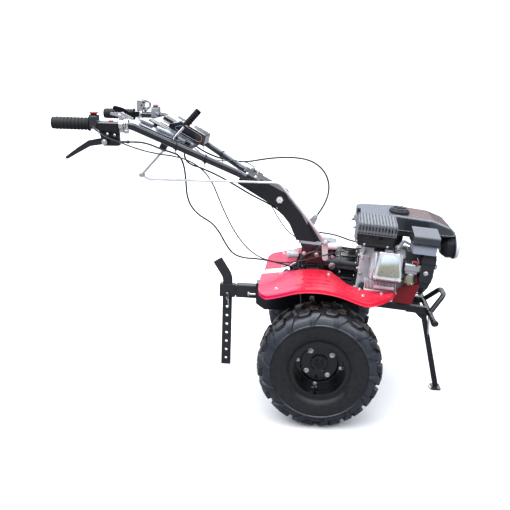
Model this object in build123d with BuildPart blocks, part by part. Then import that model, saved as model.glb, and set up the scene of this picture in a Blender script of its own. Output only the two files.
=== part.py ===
"""Walk-behind two-wheel tractor with petrol engine, handlebar, drawbar hitch and front stand.

Millimetres. +X forward, +Y left, +Z up. The origin is on the floor, under the middle of the
machine's length and width. Most side views are drawn with X counted forward from the wheel axle.
"""

from build123d import *
import os
from math import cos, degrees, pi, radians, sin, tan, atan2, hypot

os.makedirs("parts", exist_ok=True)

# ---------------------------------------------------------------- driving dimensions
GRIP_REACH = 992.0        # grip ends behind the axle
FRONT_REACH = 558.0       # headlamp glass ahead of the axle
AXLE_X = (GRIP_REACH - FRONT_REACH) / 2
TYRE_R = 240.0
TYRE_WIDTH = 178.0
TRACK = 634.0             # between the tyres' middle planes
AXLE_Z = TYRE_R
PITCH = 6.0               # the machine leans nose down on its front stand
CRANK_H = 320.0           # crankshaft above the axle, square to the leaning body
SHEET = 2.0               # pressed sheet metal
PLATE = 4.0               # bracket plate
GAP = 0.3                 # between curved faces that only lie together
RUNNING = 0.05            # radial clearance of a turning shaft

WHEEL_Y = TRACK / 2
COS_P, SIN_P = cos(radians(PITCH)), sin(radians(PITCH))


# ---------------------------------------------------------------- drawing planes
def side(y=0.0):
    """Level side view at y: forward from the axle, up from the floor; extrudes to the right."""
    return Plane(origin=(AXLE_X, y, 0), x_dir=(1, 0, 0), z_dir=(0, -1, 0))


def cross(x):
    """Level cross-section x ahead of the axle: left, up; extrudes forward."""
    return Plane(origin=(AXLE_X + x, 0, 0), x_dir=(0, 1, 0), z_dir=(1, 0, 0))


def plan(z):
    """Level plan at height z: forward from the axle, left; extrudes up."""
    return Plane(origin=(AXLE_X, 0, z), x_dir=(1, 0, 0), z_dir=(0, 0, 1))


def body_point(u, y, w):
    """A point u ahead of the axle and w above it, measured along the leaning body."""
    return (AXLE_X + u * COS_P + w * SIN_P, y, AXLE_Z - u * SIN_P + w * COS_P)


def body_side(y=0.0):
    """Side view of the leaning body through the axle; extrudes to the right."""
    return Plane(origin=body_point(0, y, 0), x_dir=(COS_P, 0, -SIN_P), z_dir=(0, -1, 0))


def body_cross(u):
    """Cross-section of the leaning body at station u: left, up; extrudes forward."""
    return Plane(origin=body_point(u, 0, 0), x_dir=(0, 1, 0), z_dir=(COS_P, 0, -SIN_P))


def body_plan(w):
    """Plan of the leaning body at height w over the axle: forward, left; extrudes up."""
    return Plane(origin=body_point(0, 0, w), x_dir=(COS_P, 0, -SIN_P), z_dir=(SIN_P, 0, COS_P))


def level_to_body(x, z):
    """Station and height in the leaning body of a point given level."""
    return x * COS_P - (z - AXLE_Z) * SIN_P, x * SIN_P + (z - AXLE_Z) * COS_P


# ---------------------------------------------------------------- routes of the free cables
# diameter, then points: ahead of the axle, left, up
CABLES = {
    "clutch_cable": (6.5, (
        (-712, -298, 1078), (-691, -298, 1078), (-666, -296, 1077), (-636, -286, 1068),
        (-608, -266, 1052), (-577, -238, 1037), (-552, -208, 1024), (-541, -180, 998),
        (-539, -146, 953), (-541, -122, 899), (-540, -117, 850), (-525, -115, 805),
        (-490, -114, 768), (-446, -110, 743), (-415, -106, 705), (-391, -102, 655),
        (-362, -98, 610), (-319, -92, 591), (-266, -86, 588), (-213, -80, 579),
        (-157, -74, 565), (-118, -67, 550), (-90, -63, 543),
    )),
    "stop_wire": (5.0, (
        (-820, -326, 1120), (-806, -332, 1110), (-788, -333, 1098), (-764, -328, 1087),
        (-735, -320, 1077), (-697, -308, 1060), (-654, -286, 1043), (-606, -255, 1029),
        (-562, -223, 1019), (-520, -190, 1002), (-483, -158, 973), (-456, -132, 940),
        (-434, -112, 896), (-414, -108, 842), (-391, -108, 785), (-362, -106, 723),
        (-326, -104, 665), (-284, -101, 619), (-236, -97, 590), (-180, -91, 575),
        (-122, -85, 575), (-62, -81, 586), (-4, -78, 602), (50, -76, 617),
        (98, -72, 628), (136, -66, 634), (160, -62, 635),
    )),
    "throttle_cable": (6.5, (
        (-529, -150, 1045), (-537, -150, 1030), (-539, -150, 1010), (-530, -149, 990),
        (-510, -147, 976), (-484, -143, 968), (-457, -138, 956), (-424, -124, 939),
        (-384, -106, 914), (-342, -80, 884), (-299, -52, 851), (-252, -24, 821),
        (-208, 3, 793), (-175, 24, 763), (-149, 46, 732), (-127, 61, 704),
        (-98, 71, 685), (-62, 74, 675), (-22, 71, 668), (14, 62, 666),
        (46, 42, 666), (72, 17, 665), (95, -5, 662), (115, -20, 658),
        (134, -27, 655), (150, -30, 653),
    )),
    "left_cable": (7.0, (
        (-733, 270, 1143), (-719, 262, 1137), (-704, 256, 1125), (-688, 250, 1108),
        (-666, 243, 1088), (-635, 231, 1066), (-600, 215, 1041), (-563, 197, 1017),
        (-526, 181, 996), (-485, 165, 979), (-434, 152, 964), (-378, 140, 955),
        (-320, 128, 956), (-262, 116, 968), (-208, 102, 977), (-158, 91, 981),
        (-112, 83, 981), (-72, 76, 976), (-36, 67, 963), (-7, 57, 942),
        (15, 46, 912), (25, 34, 877), (23, 20, 842), (12, 4, 812),
        (-3, -12, 785), (-20, -23, 763),
    )),
    "lamp_wire": (4.0, (
        (-740, 272, 1129), (-726, 265, 1122), (-711, 258, 1110), (-694, 249, 1093),
        (-670, 237, 1074), (-640, 223, 1053), (-606, 206, 1034), (-572, 190, 1013),
        (-536, 171, 988), (-496, 148, 970), (-458, 122, 963), (-422, 98, 963),
        (-390, 81, 966), (-361, 68, 967), (-337, 58, 966), (-316, 51, 962),
        (-299, 45, 955), (-286, 40, 945), (-281, 36, 931), (-285, 33, 917),
        (-290, 31, 902), (-288, 30, 886), (-275, 29, 871), (-258, 28, 853),
        (-240, 28, 829), (-217, 29, 796), (-196, 30, 757), (-175, 31, 721),
        (-149, 29, 686), (-124, 27, 663), (-98, 25, 649),
    )),
}


def cable_points(name):
    """Corner points of a cable's route in the machine's frame."""
    return [Vector(AXLE_X + x, y, z) for x, y, z in CABLES[name][1]]


def ferrule_plane(name, last):
    """Across a cable's end, pointing on into what holds it."""
    points = cable_points(name)
    tip, near = (points[-1], points[-2]) if last else (points[0], points[1])
    return Plane(origin=tip, z_dir=tip - near)


# ---------------------------------------------------------------- gearbox
GEARCASE_HALF = 52.0
AXLE_BOSS_R = 72.0
UPPER_CASE_R = 76.0
UPPER_CASE_U, UPPER_CASE_W = -52.0, 300.0
CASE_RIM = 8.0
TOP_FACE_W = 400.0        # machined face that carries the handlebar column
TOP_FLANGE = (-127.0, 21.0, GEARCASE_HALF + 8, 12.0)   # rear u, front u, half width, thickness
BELL_FACE_U = 33.0
BELL_R = 64.0
AXLE_R = 17.5
AXLE_BEARING_HALF = 70.0
SHIFT_SPINDLE = (15.0, 592.0)   # level side view

with BuildPart() as gearbox_housing:
    with BuildSketch(body_side()):
        Circle(AXLE_BOSS_R)
        with Locations((UPPER_CASE_U, UPPER_CASE_W)):
            Circle(UPPER_CASE_R)
        make_hull()
    extrude(amount=GEARCASE_HALF, both=True)
    rims = gearbox_housing.edges().filter_by(lambda e: abs(abs(e.center().Y) - GEARCASE_HALF) < 0.1)
    fillet(rims, 9)
    # joint flange round the middle of the split casting
    with BuildSketch(body_side()):
        Circle(AXLE_BOSS_R + CASE_RIM)
        with Locations((UPPER_CASE_U, UPPER_CASE_W)):
            Circle(UPPER_CASE_R + CASE_RIM)
        make_hull()
    extrude(amount=9, both=True)
    # neck and top flange
    with BuildSketch(body_plan(UPPER_CASE_W)):
        with Locations(((TOP_FLANGE[0] + TOP_FLANGE[1]) / 2, 0)):
            RectangleRounded(TOP_FLANGE[1] - TOP_FLANGE[0] - 10, 2 * GEARCASE_HALF - 4, 14)
    extrude(amount=TOP_FACE_W - UPPER_CASE_W - 1)
    with BuildSketch(body_plan(TOP_FACE_W - TOP_FLANGE[3])):
        with Locations(((TOP_FLANGE[0] + TOP_FLANGE[1]) / 2, 0)):
            RectangleRounded(TOP_FLANGE[1] - TOP_FLANGE[0], 2 * TOP_FLANGE[2], 8)
    extrude(amount=TOP_FLANGE[3])
    # round neck to the clutch housing
    with BuildSketch(body_cross(-20)):
        with Locations((0, CRANK_H)):
            Circle(62)
    extrude(amount=BELL_FACE_U - 8 + 20)
    with BuildSketch(body_cross(BELL_FACE_U - 10)):
        with Locations((0, CRANK_H)):
            Circle(74)
    extrude(amount=10)
    # seat of the clutch housing, cut clear of the case below it
    with BuildSketch(body_cross(BELL_FACE_U)):
        with Locations((0, CRANK_H)):
            Circle(BELL_R + 18)
    extrude(amount=60, mode=Mode.SUBTRACT)
    # axle bearing bosses
    with BuildSketch(body_side()):
        Circle(46)
    extrude(amount=AXLE_BEARING_HALF, both=True)
    with BuildSketch(body_side()):
        Circle(AXLE_R + RUNNING)
    extrude(amount=AXLE_BEARING_HALF + 1, both=True, mode=Mode.SUBTRACT)
    # seat and bore of the shift arm's spindle
    with BuildSketch(side(12 - GEARCASE_HALF)):
        with Locations(SHIFT_SPINDLE):
            Circle(13)
    extrude(amount=20)
    with BuildSketch(side(8 - GEARCASE_HALF)):
        with Locations(SHIFT_SPINDLE):
            Circle(6 + RUNNING)
    extrude(amount=30, mode=Mode.SUBTRACT)
    # stop and adjuster of the clutch cable
    with BuildSketch(cross(-80)):
        with Locations((-GEARCASE_HALF - 6, 545)):
            RectangleRounded(24, 26, 4)
    extrude(amount=6)
    with BuildSketch(ferrule_plane("clutch_cable", True)):
        Circle(5)
    extrude(amount=22)
    # sleeve where the lamp's wire goes in
    with BuildSketch(ferrule_plane("lamp_wire", True)):
        Circle(3.5)
    extrude(amount=18)
gearbox_housing.part.label = "gearbox_housing"
export_step(gearbox_housing.part, "parts/gearbox_housing.step")

# ---------------------------------------------------------------- clutch housing
PTO_FACE_U = 116.0        # where the engine bolts on

with BuildPart() as clutch_housing:
    for start, length, radius in (
        (BELL_FACE_U, 10, BELL_R + 10),
        (BELL_FACE_U + 10, PTO_FACE_U - BELL_FACE_U - 22, BELL_R),
        (PTO_FACE_U - 12, 12, BELL_R + 14),
    ):
        with BuildSketch(body_cross(start)):
            with Locations((0, CRANK_H)):
                Circle(radius)
        extrude(amount=length)
    # stiffening ribs between the two flanges
    with BuildSketch(body_cross(BELL_FACE_U + 5)):
        with Locations((0, CRANK_H)):
            with PolarLocations(BELL_R, 8):
                Rectangle(14, 7)
    extrude(amount=PTO_FACE_U - BELL_FACE_U - 12)
clutch_housing.part.label = "clutch_housing"
export_step(clutch_housing.part, "parts/clutch_housing.step")

# ---------------------------------------------------------------- engine block
BASE_W = CRANK_H - 106.0  # foot of the engine
BLOCK_FRONT_U = 305.0
BLOCK_HALF = 88.0
CYLINDER_U = 215.0
CYLINDER_TILT = 18.0      # the cylinder points to the right and this far up
HEAD_PLANE = Plane(
    origin=body_point(CYLINDER_U, 0, CRANK_H),
    x_dir=(COS_P, 0, -SIN_P),
    z_dir=(
        sin(radians(CYLINDER_TILT)) * SIN_P,
        -cos(radians(CYLINDER_TILT)),
        sin(radians(CYLINDER_TILT)) * COS_P,
    ),
)
BARREL_START, BARREL_END = 70.0, 152.0
HEAD_END = 206.0
COVER_END = 243.0
FIN_PITCH, FIN_THICK = 9.0, 3.0

with BuildPart() as engine_block:
    with BuildSketch(body_cross(PTO_FACE_U)) as block_outline:
        with BuildLine():
            FilletPolyline(
                (-BLOCK_HALF, BASE_W + 10), (BLOCK_HALF, BASE_W + 10), (BLOCK_HALF, CRANK_H + 30),
                (40, CRANK_H + 92), (-40, CRANK_H + 92), (-BLOCK_HALF, CRANK_H + 50),
                radius=14, close=True,
            )
        make_face()
    extrude(amount=BLOCK_FRONT_U - PTO_FACE_U)
    # foot flange
    with BuildSketch(body_plan(BASE_W)):
        with Locations(((PTO_FACE_U + 10 + BLOCK_FRONT_U - 10) / 2, 0)):
            RectangleRounded(BLOCK_FRONT_U - PTO_FACE_U - 20, 2 * BLOCK_HALF + 16, 12)
    extrude(amount=12)
    # barrel core and fins
    with BuildSketch(HEAD_PLANE.offset(BARREL_START)):
        RectangleRounded(88, 86, 20)
    extrude(amount=BARREL_END - BARREL_START)
    for n in range(5):
        with BuildSketch(HEAD_PLANE.offset(BARREL_END - FIN_THICK - n * FIN_PITCH)):
            RectangleRounded(118, 108, 16)
        extrude(amount=FIN_THICK)
    # cable stops on the rear of the block: left, top edge, station
    for y, top, u in ((-30, 434, 118), (-62, 418, 129)):
        with BuildSketch(body_cross(u)):
            with Locations((y, top - 18)):
                RectangleRounded(20, 36, 4)
        extrude(amount=3)
    for name, length in (("throttle_cable", 14), ("stop_wire", 13)):
        with BuildSketch(ferrule_plane(name, True)):
            Circle(4)
        extrude(amount=length)
engine_block.part.label = "engine_block"
export_step(engine_block.part, "parts/engine_block.step")

with BuildPart() as cylinder_head:
    with BuildSketch(HEAD_PLANE.offset(BARREL_END + 1)):
        RectangleRounded(96, 92, 14)
    extrude(amount=HEAD_END - BARREL_END - 1)
    for n in range(5):
        with BuildSketch(HEAD_PLANE.offset(BARREL_END + 2 + n * FIN_PITCH)):
            RectangleRounded(122, 110, 12)
        extrude(amount=FIN_THICK)
    with BuildSketch(HEAD_PLANE.offset(HEAD_END - 8)):
        RectangleRounded(112, 108, 14)
    extrude(amount=8)
cylinder_head.part.label = "cylinder_head"
export_step(cylinder_head.part, "parts/cylinder_head.step")

COVER_TOP, COVER_FOOT, COVER_TALL = 76.0, 106.0, 104.0


def trapezoid(top, foot, tall):
    """Corners of the valve cover's outline, wide at its foot."""
    return (-foot / 2, -tall / 2), (foot / 2, -tall / 2), (top / 2, tall / 2), (-top / 2, tall / 2)


with BuildPart() as valve_cover:
    # rim, crowned body, flat pad: distance along the cylinder, thickness, size change
    for start, thick, grow in (
        (HEAD_END, 6, 6),
        (HEAD_END + 6, COVER_END - HEAD_END - 8, 0),
        (COVER_END - 2, 2, -23),
    ):
        with BuildSketch(HEAD_PLANE.offset(start)):
            with BuildLine():
                corners = trapezoid(COVER_TOP + grow, COVER_FOOT + grow, COVER_TALL + grow)
                FilletPolyline(*corners, radius=14, close=True)
            make_face()
        extrude(amount=thick)
valve_cover.part.label = "valve_cover"
export_step(valve_cover.part, "parts/valve_cover.step")

# ---------------------------------------------------------------- fan shroud and starter
SHROUD_FRONT_U = 367.0
SHROUD_R = 104.0
STARTER_R = 88.0
STARTER_FRONT_U = 414.0

with BuildPart() as fan_shroud:
    with BuildSketch(body_cross(BLOCK_FRONT_U)):
        with Locations((0, CRANK_H)):
            Circle(SHROUD_R)
        with Locations((-70, CRANK_H + 30)):
            Circle(72)
        make_hull()
    extrude(amount=SHROUD_FRONT_U - BLOCK_FRONT_U)
    fillet(fan_shroud.faces().sort_by(Axis.X)[-1].edges(), 12)
fan_shroud.part.label = "fan_shroud"
export_step(fan_shroud.part, "parts/fan_shroud.step")

with BuildPart() as recoil_starter:
    with BuildSketch(body_plan(CRANK_H)):
        with BuildLine():
            Polyline(
                (SHROUD_FRONT_U, 0), (SHROUD_FRONT_U, STARTER_R), (SHROUD_FRONT_U + 22, STARTER_R),
            )
            ThreePointArc(
                (SHROUD_FRONT_U + 22, STARTER_R), (STARTER_FRONT_U - 9, STARTER_R - 14),
                (STARTER_FRONT_U, STARTER_R - 34),
            )
            Polyline((STARTER_FRONT_U, STARTER_R - 34), (STARTER_FRONT_U, 0), (SHROUD_FRONT_U, 0))
        make_face()
    revolve(axis=Axis(body_point(0, 0, CRANK_H), (COS_P, 0, -SIN_P)))
    # rope outlet and pull grip
    with BuildSketch(body_cross(SHROUD_FRONT_U + 4)):
        with Locations((-48, CRANK_H + 80)):
            RectangleRounded(30, 40, 6)
    extrude(amount=20)
    with BuildSketch(body_cross(SHROUD_FRONT_U + 6)):
        with Locations((-48, CRANK_H + 104)):
            RectangleRounded(66, 17, 8)
    extrude(amount=16)
recoil_starter.part.label = "recoil_starter"
export_step(recoil_starter.part, "parts/recoil_starter.step")

# ---------------------------------------------------------------- fuel tank
TANK_RIGHT, TANK_LEFT = -75.0, 135.0
TANK_TOP_W = 563.0
TANK_REAR_U, TANK_TIP_U = 86.0, 480.0
TANK_FOOT_W = CRANK_H + 112.0

with BuildPart() as fuel_tank:
    with BuildSketch(body_side(TANK_LEFT)):
        with BuildLine():
            FilletPolyline(
                (TANK_REAR_U, 492), (TANK_REAR_U, TANK_TOP_W - 8), (240, TANK_TOP_W + 3),
                (385, TANK_TOP_W - 2), (452, 541), (TANK_TIP_U, 517), (TANK_TIP_U - 12, 503),
                (400, 497), (335, 484), (130, 484),
                radius=6, close=True,
            )
        make_face()
    extrude(amount=TANK_LEFT - TANK_RIGHT)
    with BuildSketch(body_plan(470)):
        with Locations(((TANK_REAR_U + TANK_TIP_U) / 2, (TANK_LEFT + TANK_RIGHT) / 2)):
            RectangleRounded(TANK_TIP_U - TANK_REAR_U, TANK_LEFT - TANK_RIGHT, 44)
    extrude(amount=110, mode=Mode.INTERSECT)
    # saddle that stands on the engine block
    with BuildSketch(body_plan(CRANK_H + 92)):
        with Locations((205, 20)):
            Rectangle(150, 110)
    extrude(amount=484 - CRANK_H - 92)
fuel_tank.part.label = "fuel_tank"
export_step(fuel_tank.part, "parts/fuel_tank.step")

CAP_U, CAP_Y, CAP_R = 249.0, -28.0, 35.0

with BuildPart() as fuel_cap:
    with BuildSketch(body_plan(TANK_TOP_W + 3)):
        with Locations((CAP_U, CAP_Y)):
            Circle(CAP_R)
    extrude(amount=22)
    fillet(fuel_cap.faces().sort_by(Axis.Z)[-1].edges(), 5)
    with BuildSketch(body_plan(TANK_TOP_W + 3)):
        with Locations((CAP_U, CAP_Y)):
            with PolarLocations(CAP_R, 12):
                Circle(3.2)
    extrude(amount=16, mode=Mode.SUBTRACT)
fuel_cap.part.label = "fuel_cap"
export_step(fuel_cap.part, "parts/fuel_cap.step")

# ---------------------------------------------------------------- exhaust
MUFFLER_U0, MUFFLER_U1 = 87.0, 222.0
MUFFLER_W0, MUFFLER_W1 = 458.0, 512.0
MUFFLER_NEAR, MUFFLER_FAR = -206.0, -96.0
GUARD_TOP_NEAR, GUARD_TOP_FAR = 546.0, 566.0

with BuildPart() as muffler:
    with BuildSketch(body_side(MUFFLER_FAR)):
        with Locations(((MUFFLER_U0 + MUFFLER_U1) / 2, (MUFFLER_W0 + MUFFLER_W1) / 2)):
            RectangleRounded(MUFFLER_U1 - MUFFLER_U0, MUFFLER_W1 - MUFFLER_W0, 9)
    extrude(amount=MUFFLER_FAR - MUFFLER_NEAR)
    # outlet in the near face
    with BuildSketch(body_side(MUFFLER_NEAR + 8)):
        with Locations((MUFFLER_U0 + 84, MUFFLER_W0 + 34)):
            Circle(9)
    extrude(amount=9, mode=Mode.SUBTRACT)
    # exhaust elbow off the head's upper side
    head_top = HEAD_PLANE.origin + HEAD_PLANE.z_dir * 180 + HEAD_PLANE.y_dir * (55 + GAP)
    with BuildSketch(Plane(origin=head_top, x_dir=HEAD_PLANE.x_dir, z_dir=HEAD_PLANE.y_dir)):
        with Locations((-35, 0)):
            RectangleRounded(40, 34, 8)
    extrude(amount=36)
    # pads the guard is fixed to
    for u in (MUFFLER_U0 + 22, MUFFLER_U1 - 22):
        with BuildSketch(body_side(MUFFLER_FAR + 4 - GAP)):
            with Locations((u, MUFFLER_W1 - 6)):
                Circle(4)
        extrude(amount=MUFFLER_FAR - MUFFLER_NEAR + 8 - 2 * GAP)
muffler.part.label = "muffler"
export_step(muffler.part, "parts/muffler.step")

GUARD_NEAR, GUARD_FAR = MUFFLER_NEAR - 6, MUFFLER_FAR + 6
GUARD_U0, GUARD_U1 = MUFFLER_U0 - 6, MUFFLER_U1 + 6
GUARD_FOOT = MUFFLER_W1 - 12.0
SLOT_COUNT = 9

with BuildPart() as muffler_guard:
    for inset, kind in ((0, Mode.ADD), (SHEET, Mode.SUBTRACT)):
        with BuildSketch(body_cross(GUARD_U0 + inset)):
            with BuildLine():
                FilletPolyline(
                    (GUARD_FAR - inset, GUARD_FOOT - 4 * inset), (GUARD_NEAR + inset, GUARD_FOOT - 4 * inset),
                    (GUARD_NEAR + inset, GUARD_TOP_NEAR - inset), (GUARD_FAR - inset, GUARD_TOP_FAR - inset),
                    radius=5, close=True,
                )
            make_face()
        extrude(amount=GUARD_U1 - GUARD_U0 - 2 * inset, mode=kind)
    # tall slots in the near face
    with BuildSketch(body_side(GUARD_NEAR + SHEET + 1)):
        with Locations(((GUARD_U0 + GUARD_U1) / 2, (MUFFLER_W1 + GUARD_TOP_NEAR) / 2)):
            with GridLocations((GUARD_U1 - GUARD_U0 - 14) / SLOT_COUNT, 1, SLOT_COUNT, 1):
                Rectangle(8, 22)
    extrude(amount=SHEET + 3, mode=Mode.SUBTRACT)
muffler_guard.part.label = "muffler_guard"
export_step(muffler_guard.part, "parts/muffler_guard.step")

# ---------------------------------------------------------------- air intake
CLEANER_U0, CLEANER_U1 = 286.0, 384.0
CLEANER_W0, CLEANER_W1 = 462.0, 530.0
CLEANER_NEAR, CLEANER_FAR = -256.0, -148.0

with BuildPart() as air_cleaner:
    with BuildSketch(body_cross(CLEANER_U0)):
        with BuildLine():
            FilletPolyline(
                (CLEANER_FAR, 498), (CLEANER_NEAR, 498), (CLEANER_NEAR, CLEANER_W1),
                (CLEANER_FAR, CLEANER_W1 + 18),
                radius=7, close=True,
            )
        make_face()
    extrude(amount=CLEANER_U1 - CLEANER_U0)
    # lower box, a little smaller all round
    with BuildSketch(body_plan(CLEANER_W0)):
        with Locations(((CLEANER_U0 + CLEANER_U1) / 2, (CLEANER_NEAR + CLEANER_FAR) / 2)):
            RectangleRounded(CLEANER_U1 - CLEANER_U0 - 10, CLEANER_FAR - CLEANER_NEAR - 10, 8)
    extrude(amount=40)
air_cleaner.part.label = "air_cleaner"
export_step(air_cleaner.part, "parts/air_cleaner.step")

DUCT_U0, DUCT_U1 = 334.0, 384.0
DUCT_NEAR, DUCT_FAR = -234.0, -176.0
CARB_U, CARB_Y = 304.0, -196.0

with BuildPart() as air_duct:
    with BuildSketch(body_side(DUCT_FAR)):
        with BuildLine():
            FilletPolyline(
                (DUCT_U0, 352), (DUCT_U1 - 6, 346), (DUCT_U1, 372), (DUCT_U1, CLEANER_W0),
                (DUCT_U0, CLEANER_W0),
                radius=5, close=True,
            )
        make_face()
    extrude(amount=DUCT_FAR - DUCT_NEAR)
    with BuildSketch(body_plan(424)):
        with Locations(((DUCT_U0 + DUCT_U1) / 2, (DUCT_NEAR + DUCT_FAR) / 2)):
            RectangleRounded(DUCT_U1 - DUCT_U0 + 6, DUCT_FAR - DUCT_NEAR + 6, 6)
    extrude(amount=24)
air_duct.part.label = "air_duct"
export_step(air_duct.part, "parts/air_duct.step")

with BuildPart() as carburettor:
    with BuildSketch(body_plan(328)):
        with Locations((CARB_U, CARB_Y)):
            Circle(23)
    extrude(amount=46)
    fillet(carburettor.faces().sort_by(Axis.Z)[0].edges(), 8)
    with BuildSketch(body_plan(374)):
        with Locations((CARB_U, CARB_Y)):
            RectangleRounded(52, 50, 8)
    extrude(amount=30)
    with BuildSketch(body_cross(CYLINDER_U + 61)):
        with Locations((CARB_Y, 398)):
            RectangleRounded(58, 34, 10)
    extrude(amount=DUCT_U0 - CYLINDER_U - 61)
carburettor.part.label = "carburettor"
export_step(carburettor.part, "parts/carburettor.step")

# ---------------------------------------------------------------- headlamp
LAMP_Z, LAMP_R = 640.0, 52.0
LAMP_REAR, LAMP_RIM = 482.0, 545.0

with BuildPart() as headlamp:
    with BuildSketch(plan(LAMP_Z)):
        with BuildLine():
            Polyline((LAMP_REAR, 0), (LAMP_REAR, 30))
            ThreePointArc((LAMP_REAR, 30), (LAMP_REAR + 18, 45), (LAMP_RIM - 26, LAMP_R - 3))
            Polyline(
                (LAMP_RIM - 26, LAMP_R - 3), (LAMP_RIM - 12, LAMP_R - 3), (LAMP_RIM - 12, LAMP_R),
                (LAMP_RIM, LAMP_R), (LAMP_RIM, LAMP_R - 6),
            )
            ThreePointArc((LAMP_RIM, LAMP_R - 6), (LAMP_RIM + 9, LAMP_R - 26), (FRONT_REACH, 8))
            Polyline((FRONT_REACH, 8), (FRONT_REACH, 0), (LAMP_REAR, 0))
        make_face()
    revolve(axis=Axis((AXLE_X, 0, LAMP_Z), (1, 0, 0)))
headlamp.part.label = "headlamp"
export_step(headlamp.part, "parts/headlamp.step")

with BuildPart() as lamp_bracket:
    with BuildSketch(body_side(15)):
        with BuildLine():
            rear_u, rear_w = level_to_body(LAMP_REAR, LAMP_Z)
            bracket_line = FilletPolyline(
                (SHROUD_FRONT_U - 40, CRANK_H + SHROUD_R + 4.3), (rear_u - 22, CRANK_H + SHROUD_R + 4.3),
                (rear_u - 5, CRANK_H + SHROUD_R + 16), (rear_u - 5, rear_w + 24), radius=6,
            )
            offset(bracket_line, amount=2, side=Side.BOTH)
        make_face()
    extrude(amount=30)
lamp_bracket.part.label = "lamp_bracket"
export_step(lamp_bracket.part, "parts/lamp_bracket.step")

# ---------------------------------------------------------------- engine rails and bumper
RAIL_W, RAIL_H = 24.0, 24.0
RAIL_Y = GEARCASE_HALF + RAIL_W / 2
RAIL_TOP_W = BASE_W - 16.0
BAR_X, BAR_Z, BAR_R, BAR_HALF = 446.0, 374.0, 11.5, 205.0
HOOP_R = 10.5
HOOP_ROOT_Y, HOOP_FRONT_Y = 84.0, 40.0
HOOP_X, HOOP_Z = 508.0, 440.0

with BuildPart() as engine_rails:
    with BuildSketch(body_side(RAIL_Y + RAIL_W / 2)):
        bar_u, bar_w = level_to_body(BAR_X, BAR_Z)
        with BuildLine():
            Polyline(
                (20, RAIL_TOP_W), (bar_u - BAR_R - GAP, RAIL_TOP_W),
                (bar_u - BAR_R - GAP, RAIL_TOP_W - RAIL_H), (20, RAIL_TOP_W - RAIL_H), close=True,
            )
        make_face()
    extrude(amount=RAIL_W)
    mirror(about=Plane.XZ)
engine_rails.part.label = "engine_rails"
export_step(engine_rails.part, "parts/engine_rails.step")

with BuildPart() as bumper_bar:
    with BuildSketch(side(BAR_HALF)):
        with Locations((BAR_X, BAR_Z)):
            Circle(BAR_R)
    extrude(amount=2 * BAR_HALF)
    # plastic end caps
    for y in (BAR_HALF, -BAR_HALF + 16):
        with BuildSketch(side(y)):
            with Locations((BAR_X, BAR_Z)):
                Circle(BAR_R + 1.5)
        extrude(amount=16)
    # lug for the stand spring's upper hook
    with BuildSketch(side(-13)):
        with BuildLine():
            FilletPolyline(
                (BAR_X, BAR_Z), (BAR_X + 22, BAR_Z - 16), (BAR_X + 22, 350 + GAP), (BAR_X + 4, 350 + GAP),
                radius=3, close=True,
            )
        make_face()
    extrude(amount=4)
bumper_bar.part.label = "bumper_bar"
export_step(bumper_bar.part, "parts/bumper_bar.step")

with BuildPart() as bumper_hoop:
    # the hoop leans forward out of the bar
    hoop_lean = atan2(HOOP_Z - BAR_Z, HOOP_X - BAR_X)
    hoop_reach = hypot(HOOP_Z - BAR_Z, HOOP_X - BAR_X)
    hoop_plane = Plane(
        origin=(AXLE_X + BAR_X, 0, BAR_Z), x_dir=(cos(hoop_lean), 0, sin(hoop_lean)),
        z_dir=(-sin(hoop_lean), 0, cos(hoop_lean)),
    )
    hoop_root = 2.0
    with BuildLine(hoop_plane):
        hoop_path = FilletPolyline(
            (hoop_root, HOOP_ROOT_Y), (hoop_reach, HOOP_FRONT_Y), (hoop_reach, -HOOP_FRONT_Y),
            (hoop_root, -HOOP_ROOT_Y), radius=34,
        )
    with BuildSketch(Plane(origin=hoop_path @ 0, z_dir=hoop_path % 0)):
        Circle(HOOP_R)
    sweep()
    # saddle cut where the legs meet the bar
    with BuildSketch(side(BAR_HALF)):
        with Locations((BAR_X, BAR_Z)):
            Circle(BAR_R + GAP)
    extrude(amount=2 * BAR_HALF, mode=Mode.SUBTRACT)
bumper_hoop.part.label = "bumper_hoop"
export_step(bumper_hoop.part, "parts/bumper_hoop.step")

# ---------------------------------------------------------------- front stand
STAND_X, STAND_Z = 438.0, 334.0       # pivot
STAND_FOOT_X = 512.0
LEG_W, LEG_T = 22.0, 12.0
FOOT_T = 6.0
EAR_Y = LEG_T / 2 + 2.0
STAND_LEAN = atan2(STAND_FOOT_X - STAND_X, STAND_Z)
PIVOT_R = 5.0

with BuildPart() as stand_bracket:
    rail_foot = RAIL_TOP_W - RAIL_H
    bracket_u, bracket_w = level_to_body(STAND_X, STAND_Z)
    # cross plate under the rails
    with BuildSketch(body_plan(rail_foot - PLATE)):
        with Locations((bracket_u - 52, 0)):
            RectangleRounded(76, 2 * RAIL_Y + RAIL_W, 4)
    extrude(amount=PLATE)
    # two ears
    for y in (EAR_Y + PLATE, -EAR_Y):
        with BuildSketch(body_side(y)):
            with BuildLine():
                FilletPolyline(
                    (bracket_u - 66, rail_foot - PLATE), (bracket_u - 15, rail_foot - PLATE),
                    (bracket_u + 12, bracket_w + 10), (bracket_u + 13, bracket_w - 4),
                    (bracket_u + 6, bracket_w - 13), (bracket_u - 12, bracket_w - 13),
                    radius=3, close=True,
                )
            make_face()
            with Locations((bracket_u, bracket_w)):
                Circle(PIVOT_R + RUNNING, mode=Mode.SUBTRACT)
        extrude(amount=PLATE)
stand_bracket.part.label = "stand_bracket"
export_step(stand_bracket.part, "parts/stand_bracket.step")

leg_plane = Plane(
    origin=(AXLE_X + STAND_X, 0, STAND_Z), x_dir=(sin(STAND_LEAN), 0, -cos(STAND_LEAN)), z_dir=(0, 1, 0)
)
leg_length = hypot(STAND_FOOT_X - STAND_X, STAND_Z)

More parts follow.
